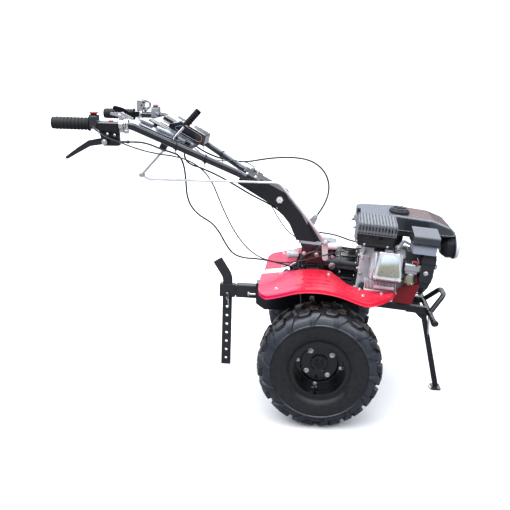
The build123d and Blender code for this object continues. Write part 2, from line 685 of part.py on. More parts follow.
with BuildPart() as stand_leg:
    with BuildSketch(leg_plane.offset(-LEG_T / 2)):
        SlotCenterToCenter(2 * (leg_length - 14), LEG_W)
        with Locations((-leg_length, 0)):
            Rectangle(2 * leg_length, 2 * LEG_W, mode=Mode.SUBTRACT)
        Circle(LEG_W / 2)
    extrude(amount=LEG_T)
    # foot plate flat on the floor
    with BuildSketch(plan(0)):
        with Locations((STAND_FOOT_X - 2, 0)):
            RectangleRounded(40, 54, 5)
    extrude(amount=FOOT_T)
    # pivot pin
    with BuildSketch(side(EAR_Y + PLATE + 4)):
        with Locations((STAND_X, STAND_Z)):
            Circle(PIVOT_R)
    extrude(amount=2 * (EAR_Y + PLATE + 4))
    # pin for the spring's lower hook
    with BuildSketch(leg_plane.offset(-LEG_T / 2 - 15)):
        with Locations((97, 0)):
            Circle(3)
    extrude(amount=16)
stand_leg.part.label = "stand_leg"
export_step(stand_leg.part, "parts/stand_leg.step")

# spring between the bar and the leg's lug, as the outline of its coils
SPRING_Y = -LEG_T / 2 - 9.0
SPRING_R = 6.5
SPRING_X = 459.0
SPRING_TOP_Z, SPRING_FOOT_Z = 350.0, 242.6

with BuildPart() as stand_spring:
    with BuildSketch(plan(SPRING_FOOT_Z)):
        with Locations((SPRING_X, SPRING_Y)):
            Circle(SPRING_R)
    extrude(amount=SPRING_TOP_Z - SPRING_FOOT_Z)
stand_spring.part.label = "stand_spring"
export_step(stand_spring.part, "parts/stand_spring.step")

# ---------------------------------------------------------------- wheels on one live axle
RIM_SEAT_R = 101.6
RIM_FLANGE_R = 115.0
RIM_HALF = 72.0
WELL_R = 95.0
RIM_T = 3.0
DISC_Y = -2.0             # disc's outer face, outward of the tyre's middle plane
RING_Y = 8.0              # outer ring of the disc, a step further out
HUB_R, HUB_FLANGE_R, HUB_FLANGE_T = 30.0, 76.0, 8.0
HUB_PCD = 119.0
HUB_BOLT_R = 6.5
AXLE_HALF = WHEEL_Y + DISC_Y + 6

with BuildPart() as axle_shaft:
    with BuildSketch(side(AXLE_HALF)):
        with Locations((0, AXLE_Z)):
            Circle(AXLE_R)
    extrude(amount=2 * AXLE_HALF)
axle_shaft.part.label = "axle_shaft"
export_step(axle_shaft.part, "parts/axle_shaft.step")

SPIN = Axis((AXLE_X, 0, AXLE_Z), (0, 1, 0))


def wheel_plane(out):
    """Half section of a wheel: radius, distance outward from the tyre's middle plane."""
    return Plane(origin=(AXLE_X, out * WHEEL_Y, AXLE_Z), x_dir=(1, 0, 0), z_dir=(0, 0, out))


with BuildPart() as wheel_hubs:
    for out in (-1, 1):
        with BuildSketch(wheel_plane(out)):
            with BuildLine():
                Polyline(
                    (AXLE_R + GAP, AXLE_BEARING_HALF + 2 - WHEEL_Y), (HUB_R, AXLE_BEARING_HALF + 2 - WHEEL_Y),
                    (HUB_R, DISC_Y - 22), (HUB_R + 9, DISC_Y - 4 - HUB_FLANGE_T),
                    (HUB_FLANGE_R, DISC_Y - 4 - HUB_FLANGE_T), (HUB_FLANGE_R, DISC_Y - 4),
                    (36, DISC_Y - 4), (36, DISC_Y + 4), (AXLE_R + GAP, DISC_Y + 4), close=True,
                )
            make_face()
        revolve(axis=SPIN)
        with BuildSketch(side(out * (WHEEL_Y + DISC_Y + 20))):
            with Locations((0, AXLE_Z)):
                with PolarLocations(HUB_PCD / 2, 4, start_angle=34):
                    Circle(HUB_BOLT_R)
        extrude(amount=out * 60, mode=Mode.SUBTRACT)
wheel_hubs.part.label = "wheel_hubs"
export_step(wheel_hubs.part, "parts/wheel_hubs.step")

for name, out in (("right", -1), ("left", 1)):
    with BuildPart() as wheel_rim:
        with BuildSketch(wheel_plane(out)):
            # pressed barrel with a well between the bead seats
            inside = RIM_SEAT_R - RIM_T
            edge = RIM_HALF - RIM_T
            with BuildLine():
                Polyline(
                    (RIM_FLANGE_R, RIM_HALF), (RIM_FLANGE_R, edge), (RIM_SEAT_R, edge), (RIM_SEAT_R, 44),
                    (WELL_R, 34), (WELL_R, -34), (RIM_SEAT_R, -44), (RIM_SEAT_R, -edge),
                    (RIM_FLANGE_R, -edge), (RIM_FLANGE_R, -RIM_HALF), (inside, -RIM_HALF), (inside, -45),
                    (WELL_R - RIM_T, -35), (WELL_R - RIM_T, 35), (inside, 45), (inside, RIM_HALF),
                    close=True,
                )
            make_face()
            # dished disc with its raised outer ring
            with BuildLine():
                Polyline(
                    (36.4, DISC_Y), (69, DISC_Y), (75, RING_Y), (WELL_R - 1, RING_Y),
                    (WELL_R - 1, RING_Y - 4), (77, RING_Y - 4), (71, DISC_Y - 4), (36.4, DISC_Y - 4),
                    close=True,
                )
            make_face()
        revolve(axis=SPIN)
        with BuildSketch(side(out * (WHEEL_Y + DISC_Y + 20))):
            with Locations((0, AXLE_Z)):
                with PolarLocations(HUB_PCD / 2, 4, start_angle=34):
                    Circle(HUB_BOLT_R)
        extrude(amount=out * 60, mode=Mode.SUBTRACT)
    wheel_rim.part.label = f"wheel_rim_{name}"
    export_step(wheel_rim.part, f"parts/wheel_rim_{name}.step")

    with BuildPart() as tyre:
        with BuildSketch(wheel_plane(out)):
            with BuildLine():
                bead = RIM_HALF - RIM_T - GAP
                seat = RIM_SEAT_R + GAP
                wide = TYRE_WIDTH / 2
                Polyline((seat, 52), (seat, bead), (RIM_FLANGE_R, bead))
                ThreePointArc((RIM_FLANGE_R, bead), (160, wide - 5), (206, wide - 1))
                ThreePointArc((206, wide - 1), (225, wide - 6), (234, wide - 20))
                ThreePointArc((234, wide - 20), (TYRE_R, 0), (234, 20 - wide))
                ThreePointArc((234, 20 - wide), (225, 6 - wide), (206, 1 - wide))
                ThreePointArc((206, 1 - wide), (160, 5 - wide), (RIM_FLANGE_R, -bead))
                Polyline((RIM_FLANGE_R, -bead), (seat, -bead), (seat, -52), (120, -54))
                ThreePointArc((120, -54), (170, -76), (216, -70))
                ThreePointArc((216, -70), (222, 0), (216, 70))
                ThreePointArc((216, 70), (170, 76), (120, 54))
                Line((120, 54), (seat, 52))
            make_face()
        revolve(axis=SPIN)
    tyre.part.label = f"tyre_{name}"
    export_step(tyre.part, f"parts/tyre_{name}.step")

# ---------------------------------------------------------------- fenders
FENDER_IN, FENDER_OUT = 96.0, 352.0
FENDER_SKIRT = 22.0
FENDER_LINE = ((-170, 531), (-50, 553), (70, 539), (200, 510), (276, 497))
REAR_LINE = ((-243, 497), (-214, 512), (-158, 533 - SHEET - GAP))

for name, out in (("right", -1), ("left", 1)):
    with BuildPart() as fender:
        with BuildSketch(side(out * FENDER_IN)):
            with BuildLine():
                crown = FilletPolyline(*FENDER_LINE, radius=240)
                offset(crown, amount=SHEET, side=Side.LEFT)
            make_face()
        extrude(amount=-out * (FENDER_OUT - FENDER_IN))
        # turned-down outer skirt
        with BuildSketch(side(out * (FENDER_OUT - SHEET))):
            with BuildLine():
                FilletPolyline(*FENDER_LINE, radius=240)
                FilletPolyline(*((x, z - FENDER_SKIRT) for x, z in FENDER_LINE), radius=240)
                Line(FENDER_LINE[0], (FENDER_LINE[0][0], FENDER_LINE[0][1] - FENDER_SKIRT))
                Line(FENDER_LINE[-1], (FENDER_LINE[-1][0], FENDER_LINE[-1][1] - FENDER_SKIRT))
            make_face()
        extrude(amount=-out * SHEET)
        # inner edge cut back round the engine
        with BuildSketch(plan(400)):
            with BuildLine():
                FilletPolyline(
                    (40, out * (FENDER_IN - 5)), (110, out * 200), (300, out * 200),
                    (300, out * (FENDER_IN - 5)), radius=8, close=True,
                )
            make_face()
        extrude(amount=200, mode=Mode.SUBTRACT)
    fender.part.label = f"fender_{name}"
    export_step(fender.part, f"parts/fender_{name}.step")

# ---------------------------------------------------------------- drawbar hitch and depth stake
HITCH_PITCH = 2.0         # the drawbar droops in its socket
DRAWBAR_H, DRAWBAR_W, DRAWBAR_T = 56.0, 40.0, 5.0
DRAWBAR_REAR, DRAWBAR_FRONT = -358.0, -128.0
DRAWBAR_X, DRAWBAR_Z = -300.0, 420.0
HITCH_DIR = (cos(radians(HITCH_PITCH)), 0, -sin(radians(HITCH_PITCH)))
SOCKET_WALL = 8.0
STAKE_W, STAKE_T = 40.0, 10.0
STAKE_HOLE_R = 6.5
STAKE_HOLES, STAKE_PITCH = 7, 40.0
STAKE_X = -397.0


def hitch_side(y=0.0):
    """Side view of the drooping drawbar: forward, up; extrudes to the right."""
    return Plane(origin=(AXLE_X + DRAWBAR_X, y, DRAWBAR_Z), x_dir=HITCH_DIR, z_dir=(0, -1, 0))


with BuildPart() as drawbar:
    with BuildSketch(hitch_side(DRAWBAR_W / 2)):
        with Locations(((DRAWBAR_REAR + DRAWBAR_FRONT) / 2 - DRAWBAR_X, 0)):
            Rectangle(DRAWBAR_FRONT - DRAWBAR_REAR, DRAWBAR_H)
    extrude(amount=DRAWBAR_W)
    fillet(drawbar.edges().filter_by(lambda e: e.length > 200), 4)
    with BuildSketch(hitch_side(DRAWBAR_W / 2 - DRAWBAR_T)):
        with Locations(((DRAWBAR_REAR + DRAWBAR_FRONT) / 2 - DRAWBAR_X, 0)):
            Rectangle(DRAWBAR_FRONT - DRAWBAR_REAR + 2, DRAWBAR_H - 2 * DRAWBAR_T)
    extrude(amount=DRAWBAR_W - 2 * DRAWBAR_T, mode=Mode.SUBTRACT)
drawbar.part.label = "drawbar"
export_step(drawbar.part, "parts/drawbar.step")

with BuildPart() as hitch_bracket:
    half = DRAWBAR_W / 2 + GAP + SOCKET_WALL
    with BuildSketch(side(half)):
        with BuildLine():
            FilletPolyline(
                (-60, 462), (-60, 346), (-236, 346), (-272, 372), (-272, 462),
                radius=6, close=True,
            )
        make_face()
    extrude(amount=2 * half)
    # socket for the drawbar
    with BuildSketch(hitch_side(DRAWBAR_W / 2 + GAP)):
        with Locations(((DRAWBAR_REAR + DRAWBAR_FRONT) / 2 - DRAWBAR_X, 0)):
            Rectangle(DRAWBAR_FRONT - DRAWBAR_REAR + 2 * GAP, DRAWBAR_H + 2 * GAP)
    extrude(amount=DRAWBAR_W + 2 * GAP, mode=Mode.SUBTRACT)
    # cut to the back of the gearbox
    with BuildSketch(body_side(half + 1)):
        Circle(AXLE_BOSS_R + CASE_RIM + GAP)
        with Locations((UPPER_CASE_U, UPPER_CASE_W)):
            Circle(UPPER_CASE_R + CASE_RIM + GAP)
        make_hull()
    extrude(amount=2 * half + 2, mode=Mode.SUBTRACT)
hitch_bracket.part.label = "hitch_bracket"
export_step(hitch_bracket.part, "parts/hitch_bracket.step")

with BuildPart() as stake_sleeve:
    sleeve_half = 33.0
    with BuildSketch(hitch_side(STAKE_T / 2 + 9)):
        with Locations((STAKE_X - DRAWBAR_X, -2)):
            Rectangle(2 * sleeve_half, DRAWBAR_H)
    extrude(amount=STAKE_T + 18)
    with BuildSketch(hitch_side(STAKE_T / 2 + GAP)):
        with Locations((STAKE_X - DRAWBAR_X, -2)):
            Rectangle(STAKE_W + 2 * GAP, DRAWBAR_H + 2)
    extrude(amount=STAKE_T + 2 * GAP, mode=Mode.SUBTRACT)
    # neck to the drawbar's end
    with BuildSketch(hitch_side(13)):
        with Locations(((STAKE_X + sleeve_half + DRAWBAR_REAR) / 2 - DRAWBAR_X, 0)):
            Rectangle(DRAWBAR_REAR - STAKE_X - sleeve_half, DRAWBAR_H - 12)
    extrude(amount=26)
    with BuildSketch(hitch_side(STAKE_T / 2 + 12)):
        with Locations((STAKE_X - DRAWBAR_X, -19)):
            Circle(STAKE_HOLE_R)
    extrude(amount=STAKE_T + 24, mode=Mode.SUBTRACT)
stake_sleeve.part.label = "stake_sleeve"
export_step(stake_sleeve.part, "parts/stake_sleeve.step")

with BuildPart() as depth_stake:
    with BuildSketch(hitch_side(STAKE_T / 2)):
        with BuildLine():
            stake = STAKE_X - DRAWBAR_X
            blade = FilletPolyline((stake, -348), (stake, 58), (stake - 46, 130), radius=70)
        trace(blade, STAKE_W)
        for n in range(STAKE_HOLES):
            with Locations((STAKE_X - DRAWBAR_X, -19 - 60 - n * STAKE_PITCH)):
                Circle(STAKE_HOLE_R, mode=Mode.SUBTRACT)
        with Locations((STAKE_X - DRAWBAR_X, -19)):
            Circle(STAKE_HOLE_R, mode=Mode.SUBTRACT)
    extrude(amount=STAKE_T)
depth_stake.part.label = "depth_stake"
export_step(depth_stake.part, "parts/depth_stake.step")

with BuildPart() as stake_pin:
    with BuildSketch(hitch_side(STAKE_T / 2 + 22)):
        with Locations((STAKE_X - DRAWBAR_X, -19)):
            Circle(STAKE_HOLE_R - GAP)
    extrude(amount=STAKE_T + 44)
    with BuildSketch(hitch_side(-STAKE_T / 2 - 9.3)):
        with Locations((STAKE_X - DRAWBAR_X, -19)):
            Circle(10)
    extrude(amount=6)
stake_pin.part.label = "stake_pin"
export_step(stake_pin.part, "parts/stake_pin.step")

# ---------------------------------------------------------------- column and handlebar bracket
PIVOT_X, PIVOT_Z = -173.0, 828.0
COLUMN_HALF = 50.0
BRACKET_HALF = COLUMN_HALF + GAP + PLATE
BASE_PLATE_T = 8.0
PIVOT_BOLT_R = 9.0
GUSSET_Y, GUSSET_T = -30.0, 5.0

with BuildPart() as column:
    for inset, kind in ((0, Mode.ADD), (PLATE, Mode.SUBTRACT)):
        with BuildSketch(side(COLUMN_HALF - inset)):
            with Locations((PIVOT_X, PIVOT_Z)):
                Circle(30 - inset)
            with Locations((-106, 745)):
                Circle(31 - inset)
            make_hull()
        extrude(amount=2 * (COLUMN_HALF - inset), mode=kind)
        with BuildSketch(side(COLUMN_HALF - inset)):
            with Locations((-106, 745)):
                Circle(31 - inset)
            with Locations((-44, 615)):
                Circle(37 - inset)
            make_hull()
        extrude(amount=2 * (COLUMN_HALF - inset), mode=kind)
    with BuildSketch(body_plan(TOP_FACE_W + BASE_PLATE_T)):
        with Locations((-100, 0)):
            Rectangle(300, 200)
    extrude(amount=-120, mode=Mode.SUBTRACT)
    with BuildSketch(side(COLUMN_HALF + 1)):
        with Locations((PIVOT_X, PIVOT_Z)):
            Circle(PIVOT_BOLT_R + GAP)
    extrude(amount=2 * COLUMN_HALF + 2, mode=Mode.SUBTRACT)
    # base plate on the gearbox
    with BuildSketch(body_plan(TOP_FACE_W)):
        with Locations(((TOP_FLANGE[0] + TOP_FLANGE[1]) / 2, 0)):
            RectangleRounded(TOP_FLANGE[1] - TOP_FLANGE[0], 2 * TOP_FLANGE[2], 8)
    extrude(amount=BASE_PLATE_T)
    # gusset up the front, which also carries the left cable's adjuster
    with BuildSketch(side(GUSSET_Y + GUSSET_T / 2)):
        with BuildLine():
            FilletPolyline(
                (-58, 708), (-60, 738), (-30, 764), (-18, 752), (-36, 712), (-10, 674), (36, 650),
                (36, 643), (-20, 649), radius=3, close=True,
            )
        make_face()
    extrude(amount=GUSSET_T)
    with BuildSketch(ferrule_plane("left_cable", True)):
        Circle(5)
    extrude(amount=20)
column.part.label = "column"
export_step(column.part, "parts/column.step")

with BuildPart() as handlebar_bracket:
    for inset, kind in ((0, Mode.ADD), (PLATE, Mode.SUBTRACT)):
        with BuildSketch(side(BRACKET_HALF - inset)):
            with Locations((PIVOT_X, PIVOT_Z)):
                Circle(31 + PLATE - inset)
            with Locations((-336, 896), (-316, 936)):
                Circle(8 - inset)
            if kind == Mode.SUBTRACT:
                # the channel is open below and at its rear end
                with Locations((-400, 880), (-150, 760)):
                    Circle(10)
                with Locations((-106, 745)):
                    Circle(34)
            make_hull()
        extrude(amount=2 * (BRACKET_HALF - inset), mode=kind)
    with BuildSketch(side(BRACKET_HALF + 1)):
        with Locations((PIVOT_X, PIVOT_Z)):
            Circle(PIVOT_BOLT_R + GAP)
    extrude(amount=2 * BRACKET_HALF + 2, mode=Mode.SUBTRACT)
    # hole in the top for the lamp's wire
    with BuildSketch(plan(900)):
        with Locations((-284, 33)):
            Circle(9)
    extrude(amount=60, mode=Mode.SUBTRACT)
handlebar_bracket.part.label = "handlebar_bracket"
export_step(handlebar_bracket.part, "parts/handlebar_bracket.step")

with BuildPart() as pivot_bolt:
    with BuildSketch(side(BRACKET_HALF)):
        with Locations((PIVOT_X, PIVOT_Z)):
            Circle(PIVOT_BOLT_R)
    extrude(amount=2 * BRACKET_HALF)
    for y in (BRACKET_HALF + 9, -BRACKET_HALF):
        with BuildSketch(side(y)):
            with Locations((PIVOT_X, PIVOT_Z)):
                RegularPolygon(15, 6)
        extrude(amount=9)
pivot_bolt.part.label = "pivot_bolt"
export_step(pivot_bolt.part, "parts/pivot_bolt.step")

# ---------------------------------------------------------------- handlebar tubes
TUBE_R, TUBE_T = 14.0, 2.0
TUBE_FOOT_Y = BRACKET_HALF + TUBE_R + 4 + GAP
HANDLE_LINE = (           # x, y of the left tube, z
    (-256, TUBE_FOOT_Y, 890.5), (-336, TUBE_FOOT_Y, 934.5), (-707, 295, 1138), (-GRIP_REACH + 3, 303, 1146),
)
GRIP_LENGTH, GRIP_R = 138.0, 21.5

for name, out in (("right", -1), ("left", 1)):
    points = [Vector(AXLE_X + x, out * y, z) for x, y, z in HANDLE_LINE]
    with BuildPart() as handlebar:
        with BuildLine():
            tube_path = FilletPolyline(*points, radius=55)
        with BuildSketch(Plane(origin=tube_path @ 0, z_dir=tube_path % 0)):
            Circle(TUBE_R)
            Circle(TUBE_R - TUBE_T, mode=Mode.SUBTRACT)
        sweep()
    handlebar.part.label = f"handlebar_{name}"
    export_step(handlebar.part, f"parts/handlebar_{name}.step")

# ribbed rubber grips over the ends
with BuildPart() as grips:
    for out in (-1, 1):
        rear_end, bend = (Vector(AXLE_X + x, out * y, z) for x, y, z in (HANDLE_LINE[3], HANDLE_LINE[2]))
        along = (bend - rear_end).normalized()
        grip_plane = Plane(origin=rear_end - along * 3, x_dir=Vector(0, 0, 1).cross(along), z_dir=along)
        with BuildSketch(grip_plane):
            Circle(GRIP_R - 1.5)
        extrude(amount=GRIP_LENGTH)
        for n in range(9):
            with BuildSketch(grip_plane.offset(6 + n * 14)):
                Circle(GRIP_R)
            extrude(amount=8)
        with BuildSketch(grip_plane.offset(GRIP_LENGTH - 5)):
            Circle(GRIP_R + 2.5)
        extrude(amount=5)
        with BuildSketch(grip_plane.offset(3 - GAP)):
            Circle(TUBE_R + GAP)
        extrude(amount=GRIP_LENGTH, mode=Mode.SUBTRACT)
grips.part.label = "grips"
export_step(grips.part, "parts/grips.step")

# clamp blocks that hold the tubes' feet on the bracket
tube_foot = Vector(AXLE_X + HANDLE_LINE[0][0], TUBE_FOOT_Y, HANDLE_LINE[0][2])
(foot_x, _, foot_z), (bend_x, _, bend_z) = HANDLE_LINE[:2]
foot_dir = Vector(bend_x - foot_x, 0, bend_z - foot_z).normalized()

with BuildPart() as tube_clamps:
    with BuildSketch(Plane(origin=tube_foot + foot_dir * 4, x_dir=(0, 1, 0), z_dir=foot_dir)):
        RectangleRounded(2 * (TUBE_R + 4), 40, 5)
        Circle(TUBE_R + GAP, mode=Mode.SUBTRACT)
    extrude(amount=56)
    mirror(about=Plane.XZ)
tube_clamps.part.label = "tube_clamps"
export_step(tube_clamps.part, "parts/tube_clamps.step")

# ---------------------------------------------------------------- plate and console between the tubes
HANDLE_RISE = atan2(HANDLE_LINE[2][2] - HANDLE_LINE[1][2], HANDLE_LINE[1][0] - HANDLE_LINE[2][0])
HANDLE_PLANE = Plane(
    origin=(AXLE_X + HANDLE_LINE[1][0], 0, HANDLE_LINE[1][2]),
    x_dir=(-cos(HANDLE_RISE), 0, sin(HANDLE_RISE)), z_dir=(sin(HANDLE_RISE), 0, cos(HANDLE_RISE)),
)
PLATE_FRONT, PLATE_REAR = 196.0, 404.0   # along the tubes from their lower bend
SPREAD = (HANDLE_LINE[2][1] - HANDLE_LINE[1][1]) / (HANDLE_LINE[1][0] - HANDLE_LINE[2][0]) * cos(HANDLE_RISE)


def tube_y(along):
    """Half distance between the tubes' centre lines, so far up from their lower bend."""
    return TUBE_FOOT_Y + SPREAD * along


SHIFT_Y = -180.0
SHIFT_TOP, SHIFT_FOOT = (-472.0, 1186.0), (-704.0, 940.0)
SHIFT_PIVOT = tuple(foot + 0.4 * (top - foot) for foot, top in zip(SHIFT_FOOT, SHIFT_TOP))


def shift_tab(along, up):
    """Level side-view point of the handle plane: so far along the tubes, so far square above them."""
    return (
        HANDLE_LINE[1][0] - along * cos(HANDLE_RISE) + up * sin(HANDLE_RISE),
        HANDLE_LINE[1][2] + along * sin(HANDLE_RISE) + up * cos(HANDLE_RISE),
    )


with BuildPart() as cross_plate:
    with BuildSketch(HANDLE_PLANE.offset(TUBE_R + GAP)):
        with BuildLine():
            FilletPolyline(
                (PLATE_FRONT, tube_y(PLATE_FRONT)), (PLATE_REAR, tube_y(PLATE_REAR)),
                (PLATE_REAR, -tube_y(PLATE_REAR)), (PLATE_FRONT, -tube_y(PLATE_FRONT)),
                radius=12, close=True,
            )
        make_face()
        with Locations(((PLATE_FRONT + PLATE_REAR) / 2 + 4, 0)):
            with GridLocations(1, 62, 1, 6):
                SlotOverall(150, 16, mode=Mode.SUBTRACT)
        with Locations((276, -SHIFT_Y)):
            SlotOverall(64, 16, mode=Mode.SUBTRACT)
    extrude(amount=PLATE)
    # tab hanging beside the right tube, for the shift lever's pivot
    with BuildSketch(side(SHIFT_Y - 9)):
        with BuildLine():
            FilletPolyline(
                shift_tab(284, TUBE_R + GAP + 1), shift_tab(310, TUBE_R + GAP + 1),
                shift_tab(310, -44), shift_tab(284, -44),
                radius=8, close=True,
            )
        make_face()
        with Locations(SHIFT_PIVOT):
            Circle(4 + RUNNING, mode=Mode.SUBTRACT)
    extrude(amount=3)
    # grommet the throttle cable comes out of
    with BuildSketch(ferrule_plane("throttle_cable", False)):
        Circle(6)
    extrude(amount=13)
cross_plate.part.label = "cross_plate"
export_step(cross_plate.part, "parts/cross_plate.step")

CONSOLE_FRONT, CONSOLE_REAR = 178.0, 338.0
CONSOLE_HALF, CONSOLE_TALL = 60.0, 42.0
console_base = TUBE_R + GAP + PLATE

CONSOLE_SHIFT = 20.0      # it sits this far left of the middle
console_side = Plane(origin=HANDLE_PLANE.origin, x_dir=HANDLE_PLANE.x_dir, z_dir=(0, 1, 0))

with BuildPart() as console_box:
    with BuildSketch(console_side.offset(CONSOLE_SHIFT - CONSOLE_HALF)):
        with BuildLine():
            FilletPolyline(
                (CONSOLE_FRONT, console_base), (CONSOLE_FRONT + 10, console_base + CONSOLE_TALL),
                (CONSOLE_REAR - 40, console_base + CONSOLE_TALL + 4), (CONSOLE_REAR, console_base + 14),
                (CONSOLE_REAR, console_base), radius=6, close=True,
            )
        make_face()
    extrude(amount=2 * CONSOLE_HALF)
console_box.part.label = "console_box"
export_step(console_box.part, "parts/console_box.step")

# ---------------------------------------------------------------- right-hand controls
TUBE_DROP = (HANDLE_LINE[3][2] - HANDLE_LINE[2][2]) / (HANDLE_LINE[2][0] - HANDLE_LINE[3][0])


def bar_z(x):
    """Height of a handle tube's centre where it runs level to the grip."""
    return HANDLE_LINE[2][2] + (HANDLE_LINE[2][0] - x) * TUBE_DROP


def bar_y(x):
    """Distance of a handle tube's centre from the middle plane, along the level part."""
    return HANDLE_LINE[2][1] + (HANDLE_LINE[2][0] - x) * (HANDLE_LINE[3][1] - HANDLE_LINE[2][1]) / (
        HANDLE_LINE[2][0] - HANDLE_LINE[3][0]
    )


def bar_plane(out, x):
    """Across a handle tube's level part: left, up; extrudes forward along the tube."""
    forward = Vector(HANDLE_LINE[2][0] - HANDLE_LINE[3][0], out * (HANDLE_LINE[2][1] - HANDLE_LINE[3][1]),
                     HANDLE_LINE[2][2] - HANDLE_LINE[3][2])
    return Plane(origin=(AXLE_X + x, out * bar_y(x), bar_z(x)), x_dir=(0, 1, 0), z_dir=forward)


BAR_SEAT_R = TUBE_R + GAP
LEVER_PIVOT = (-797.0, 1079.0)
LEVER_Y = -bar_y(LEVER_PIVOT[0])
CLUTCH_EXIT_X, CLUTCH_EXIT_Z = CABLES["clutch_cable"][1][0][0], CABLES["clutch_cable"][1][0][2]

with BuildPart() as clutch_lever_bracket:
    # saddle under the tube
    with BuildSketch(bar_plane(-1, -822)):
        with Locations((0, -8)):
            Rectangle(34, 26)
        Circle(BAR_SEAT_R, mode=Mode.SUBTRACT)
    extrude(amount=74)
    # sheet cheeks that carry the lever's pivot
    for y in (LEVER_Y + 9, LEVER_Y - 6):
        with BuildSketch(side(y)):
            with BuildLine():
                FilletPolyline(
                    (-822, 1126), (-746, 1126), (-746, 1064), (-806, 1064),
                    radius=4, close=True,
                )
            make_face()
            with Locations(LEVER_PIVOT):
                Circle(4 + RUNNING, mode=Mode.SUBTRACT)
        extrude(amount=3)
    # web across their front edges, and the cable's adjuster in it
    with BuildSketch(side(LEVER_Y + 9)):
        with BuildLine():
            Polyline((-746, 1068), (-746, 1122), (-749, 1122), (-749, 1068), close=True)
        make_face()
    extrude(amount=18)
    for radius, length in ((4, 34), (6, 8)):
        with BuildSketch(cross(CLUTCH_EXIT_X - length)):
            with Locations((LEVER_Y, CLUTCH_EXIT_Z)):
                Circle(radius)
        extrude(amount=length)
clutch_lever_bracket.part.label = "clutch_lever_bracket"
export_step(clutch_lever_bracket.part, "parts/clutch_lever_bracket.step")

with BuildPart() as clutch_lever:
    with BuildSketch(side(LEVER_Y + 5.5)):
        with BuildLine():
            FilletPolyline(
                (-752, 1084), (-800, 1094), (-862, 1083), (-906, 1056), (-946, 1028), (-958, 1019),
                (-948, 1014), (-900, 1040), (-858, 1062), (-800, 1070), (-752, 1068),
                radius=5, close=True,
            )
        make_face()
    extrude(amount=11)
    with BuildSketch(side(LEVER_Y + 13)):
        with Locations(LEVER_PIVOT):
            Circle(4)
    extrude(amount=26)
clutch_lever.part.label = "clutch_lever"
export_step(clutch_lever.part, "parts/clutch_lever.step")

with BuildPart() as stop_switch:
    with BuildSketch(bar_plane(-1, -852)):
        with Locations((0, 8)):
            RectangleRounded(40, 50, 10)
        Circle(BAR_SEAT_R, mode=Mode.SUBTRACT)
    extrude(amount=28)
    with BuildSketch(plan(bar_z(-840) + 30)):
        with Locations((-838, LEVER_Y)):
            RectangleRounded(20, 18, 4)
    extrude(amount=9)
    with BuildSketch(ferrule_plane("stop_wire", False)):
        Circle(3.5)
    extrude(amount=26)
    with BuildSketch(bar_plane(-1, -856)):
        Circle(BAR_SEAT_R)
    extrude(amount=36, mode=Mode.SUBTRACT)
stop_switch.part.label = "stop_switch"
export_step(stop_switch.part, "parts/stop_switch.step")

# clamp with the throttle's thumb lever, ahead of the clutch lever
THROTTLE_PIVOT = (-737.0, 1172.0)

with BuildPart() as throttle_lever:
    with BuildSketch(bar_plane(-1, -744)):
        Circle(BAR_SEAT_R + 4)
        with Locations((0, 20)):
            Rectangle(14, 16)
        with Locations((0, -20)):
            Rectangle(14, 14)
        Circle(BAR_SEAT_R, mode=Mode.SUBTRACT)
    extrude(amount=15)
    # friction disc, thumb piece and cable arm on the clamp's top bolt
    with BuildSketch(side(LEVER_Y + 14)):
        with Locations(THROTTLE_PIVOT):
            Circle(12)
    extrude(amount=8)
    for end, radius, y in (((-778, 1178), 5, 20), ((-700, 1160), 4, 17)):
        with BuildSketch(side(LEVER_Y + y)):
            with Locations(THROTTLE_PIVOT):
                Circle(10)
            with Locations(end):
                Circle(radius)
            make_hull()
        extrude(amount=3)
throttle_lever.part.label = "throttle_lever"
export_step(throttle_lever.part, "parts/throttle_lever.step")

# ---------------------------------------------------------------- left-hand controls
with BuildPart() as lamp_switch:
    with BuildSketch(bar_plane(1, -771)):
        with Locations((0, 10)):
            RectangleRounded(36, 52, 12)
        Circle(BAR_SEAT_R, mode=Mode.SUBTRACT)
    extrude(amount=34)
    with BuildSketch(plan(bar_z(-754) + 34)):
        with Locations((-754, bar_y(-754))):
            RectangleRounded(20, 16, 4)
    extrude(amount=8)
    # ferrules of the left cable and of the lamp's wire
    for name, radius, length in (("left_cable", 5, 24), ("lamp_wire", 3, 17)):
        with BuildSketch(ferrule_plane(name, False)):
            Circle(radius)
        extrude(amount=length)
    with BuildSketch(bar_plane(1, -790)):
        Circle(BAR_SEAT_R)
    extrude(amount=70, mode=Mode.SUBTRACT)
lamp_switch.part.label = "lamp_switch"
export_step(lamp_switch.part, "parts/lamp_switch.step")

PADDLE_Y = 268.0
PADDLE_PIVOT = (-827.0, 1146.0)

with BuildPart() as thumb_lever:
    with BuildSketch(bar_plane(1, -838)):
        Circle(BAR_SEAT_R + 5)
        with Locations((0, 40)):
            RectangleRounded(26, 56, 6)
        Circle(BAR_SEAT_R, mode=Mode.SUBTRACT)
    extrude(amount=22)
    # arched housing ahead of the upright
    with BuildSketch(side(bar_y(-800) + 10)):
        with Locations((-797, 1184)):
            Circle(22)
        with Locations((-800, 1166)):
            Circle(10)
        make_hull()
        with Locations((-792, 1184)):
            Circle(11, mode=Mode.SUBTRACT)
    extrude(amount=20)
    # paddle on the inner side, over its pivot pin
    with BuildSketch(side(PADDLE_Y + 16)):
        with Locations(PADDLE_PIVOT):
            Circle(6)
    extrude(amount=18)
    with BuildSketch(side(PADDLE_Y)):
        with BuildLine():
            FilletPolyline(
                (-816, 1158), (-816, 1136), (-850, 1130), (-884, 1136), (-924, 1152), (-944, 1170),
                (-934, 1182), (-896, 1172), (-862, 1152), radius=5, close=True,
            )
        make_face()
    extrude(amount=5)
thumb_lever.part.label = "thumb_lever"
export_step(thumb_lever.part, "parts/thumb_lever.step")

# ---------------------------------------------------------------- gear shift
SHIFT_LEAN = atan2(SHIFT_TOP[1] - SHIFT_FOOT[1], SHIFT_TOP[0] - SHIFT_FOOT[0])

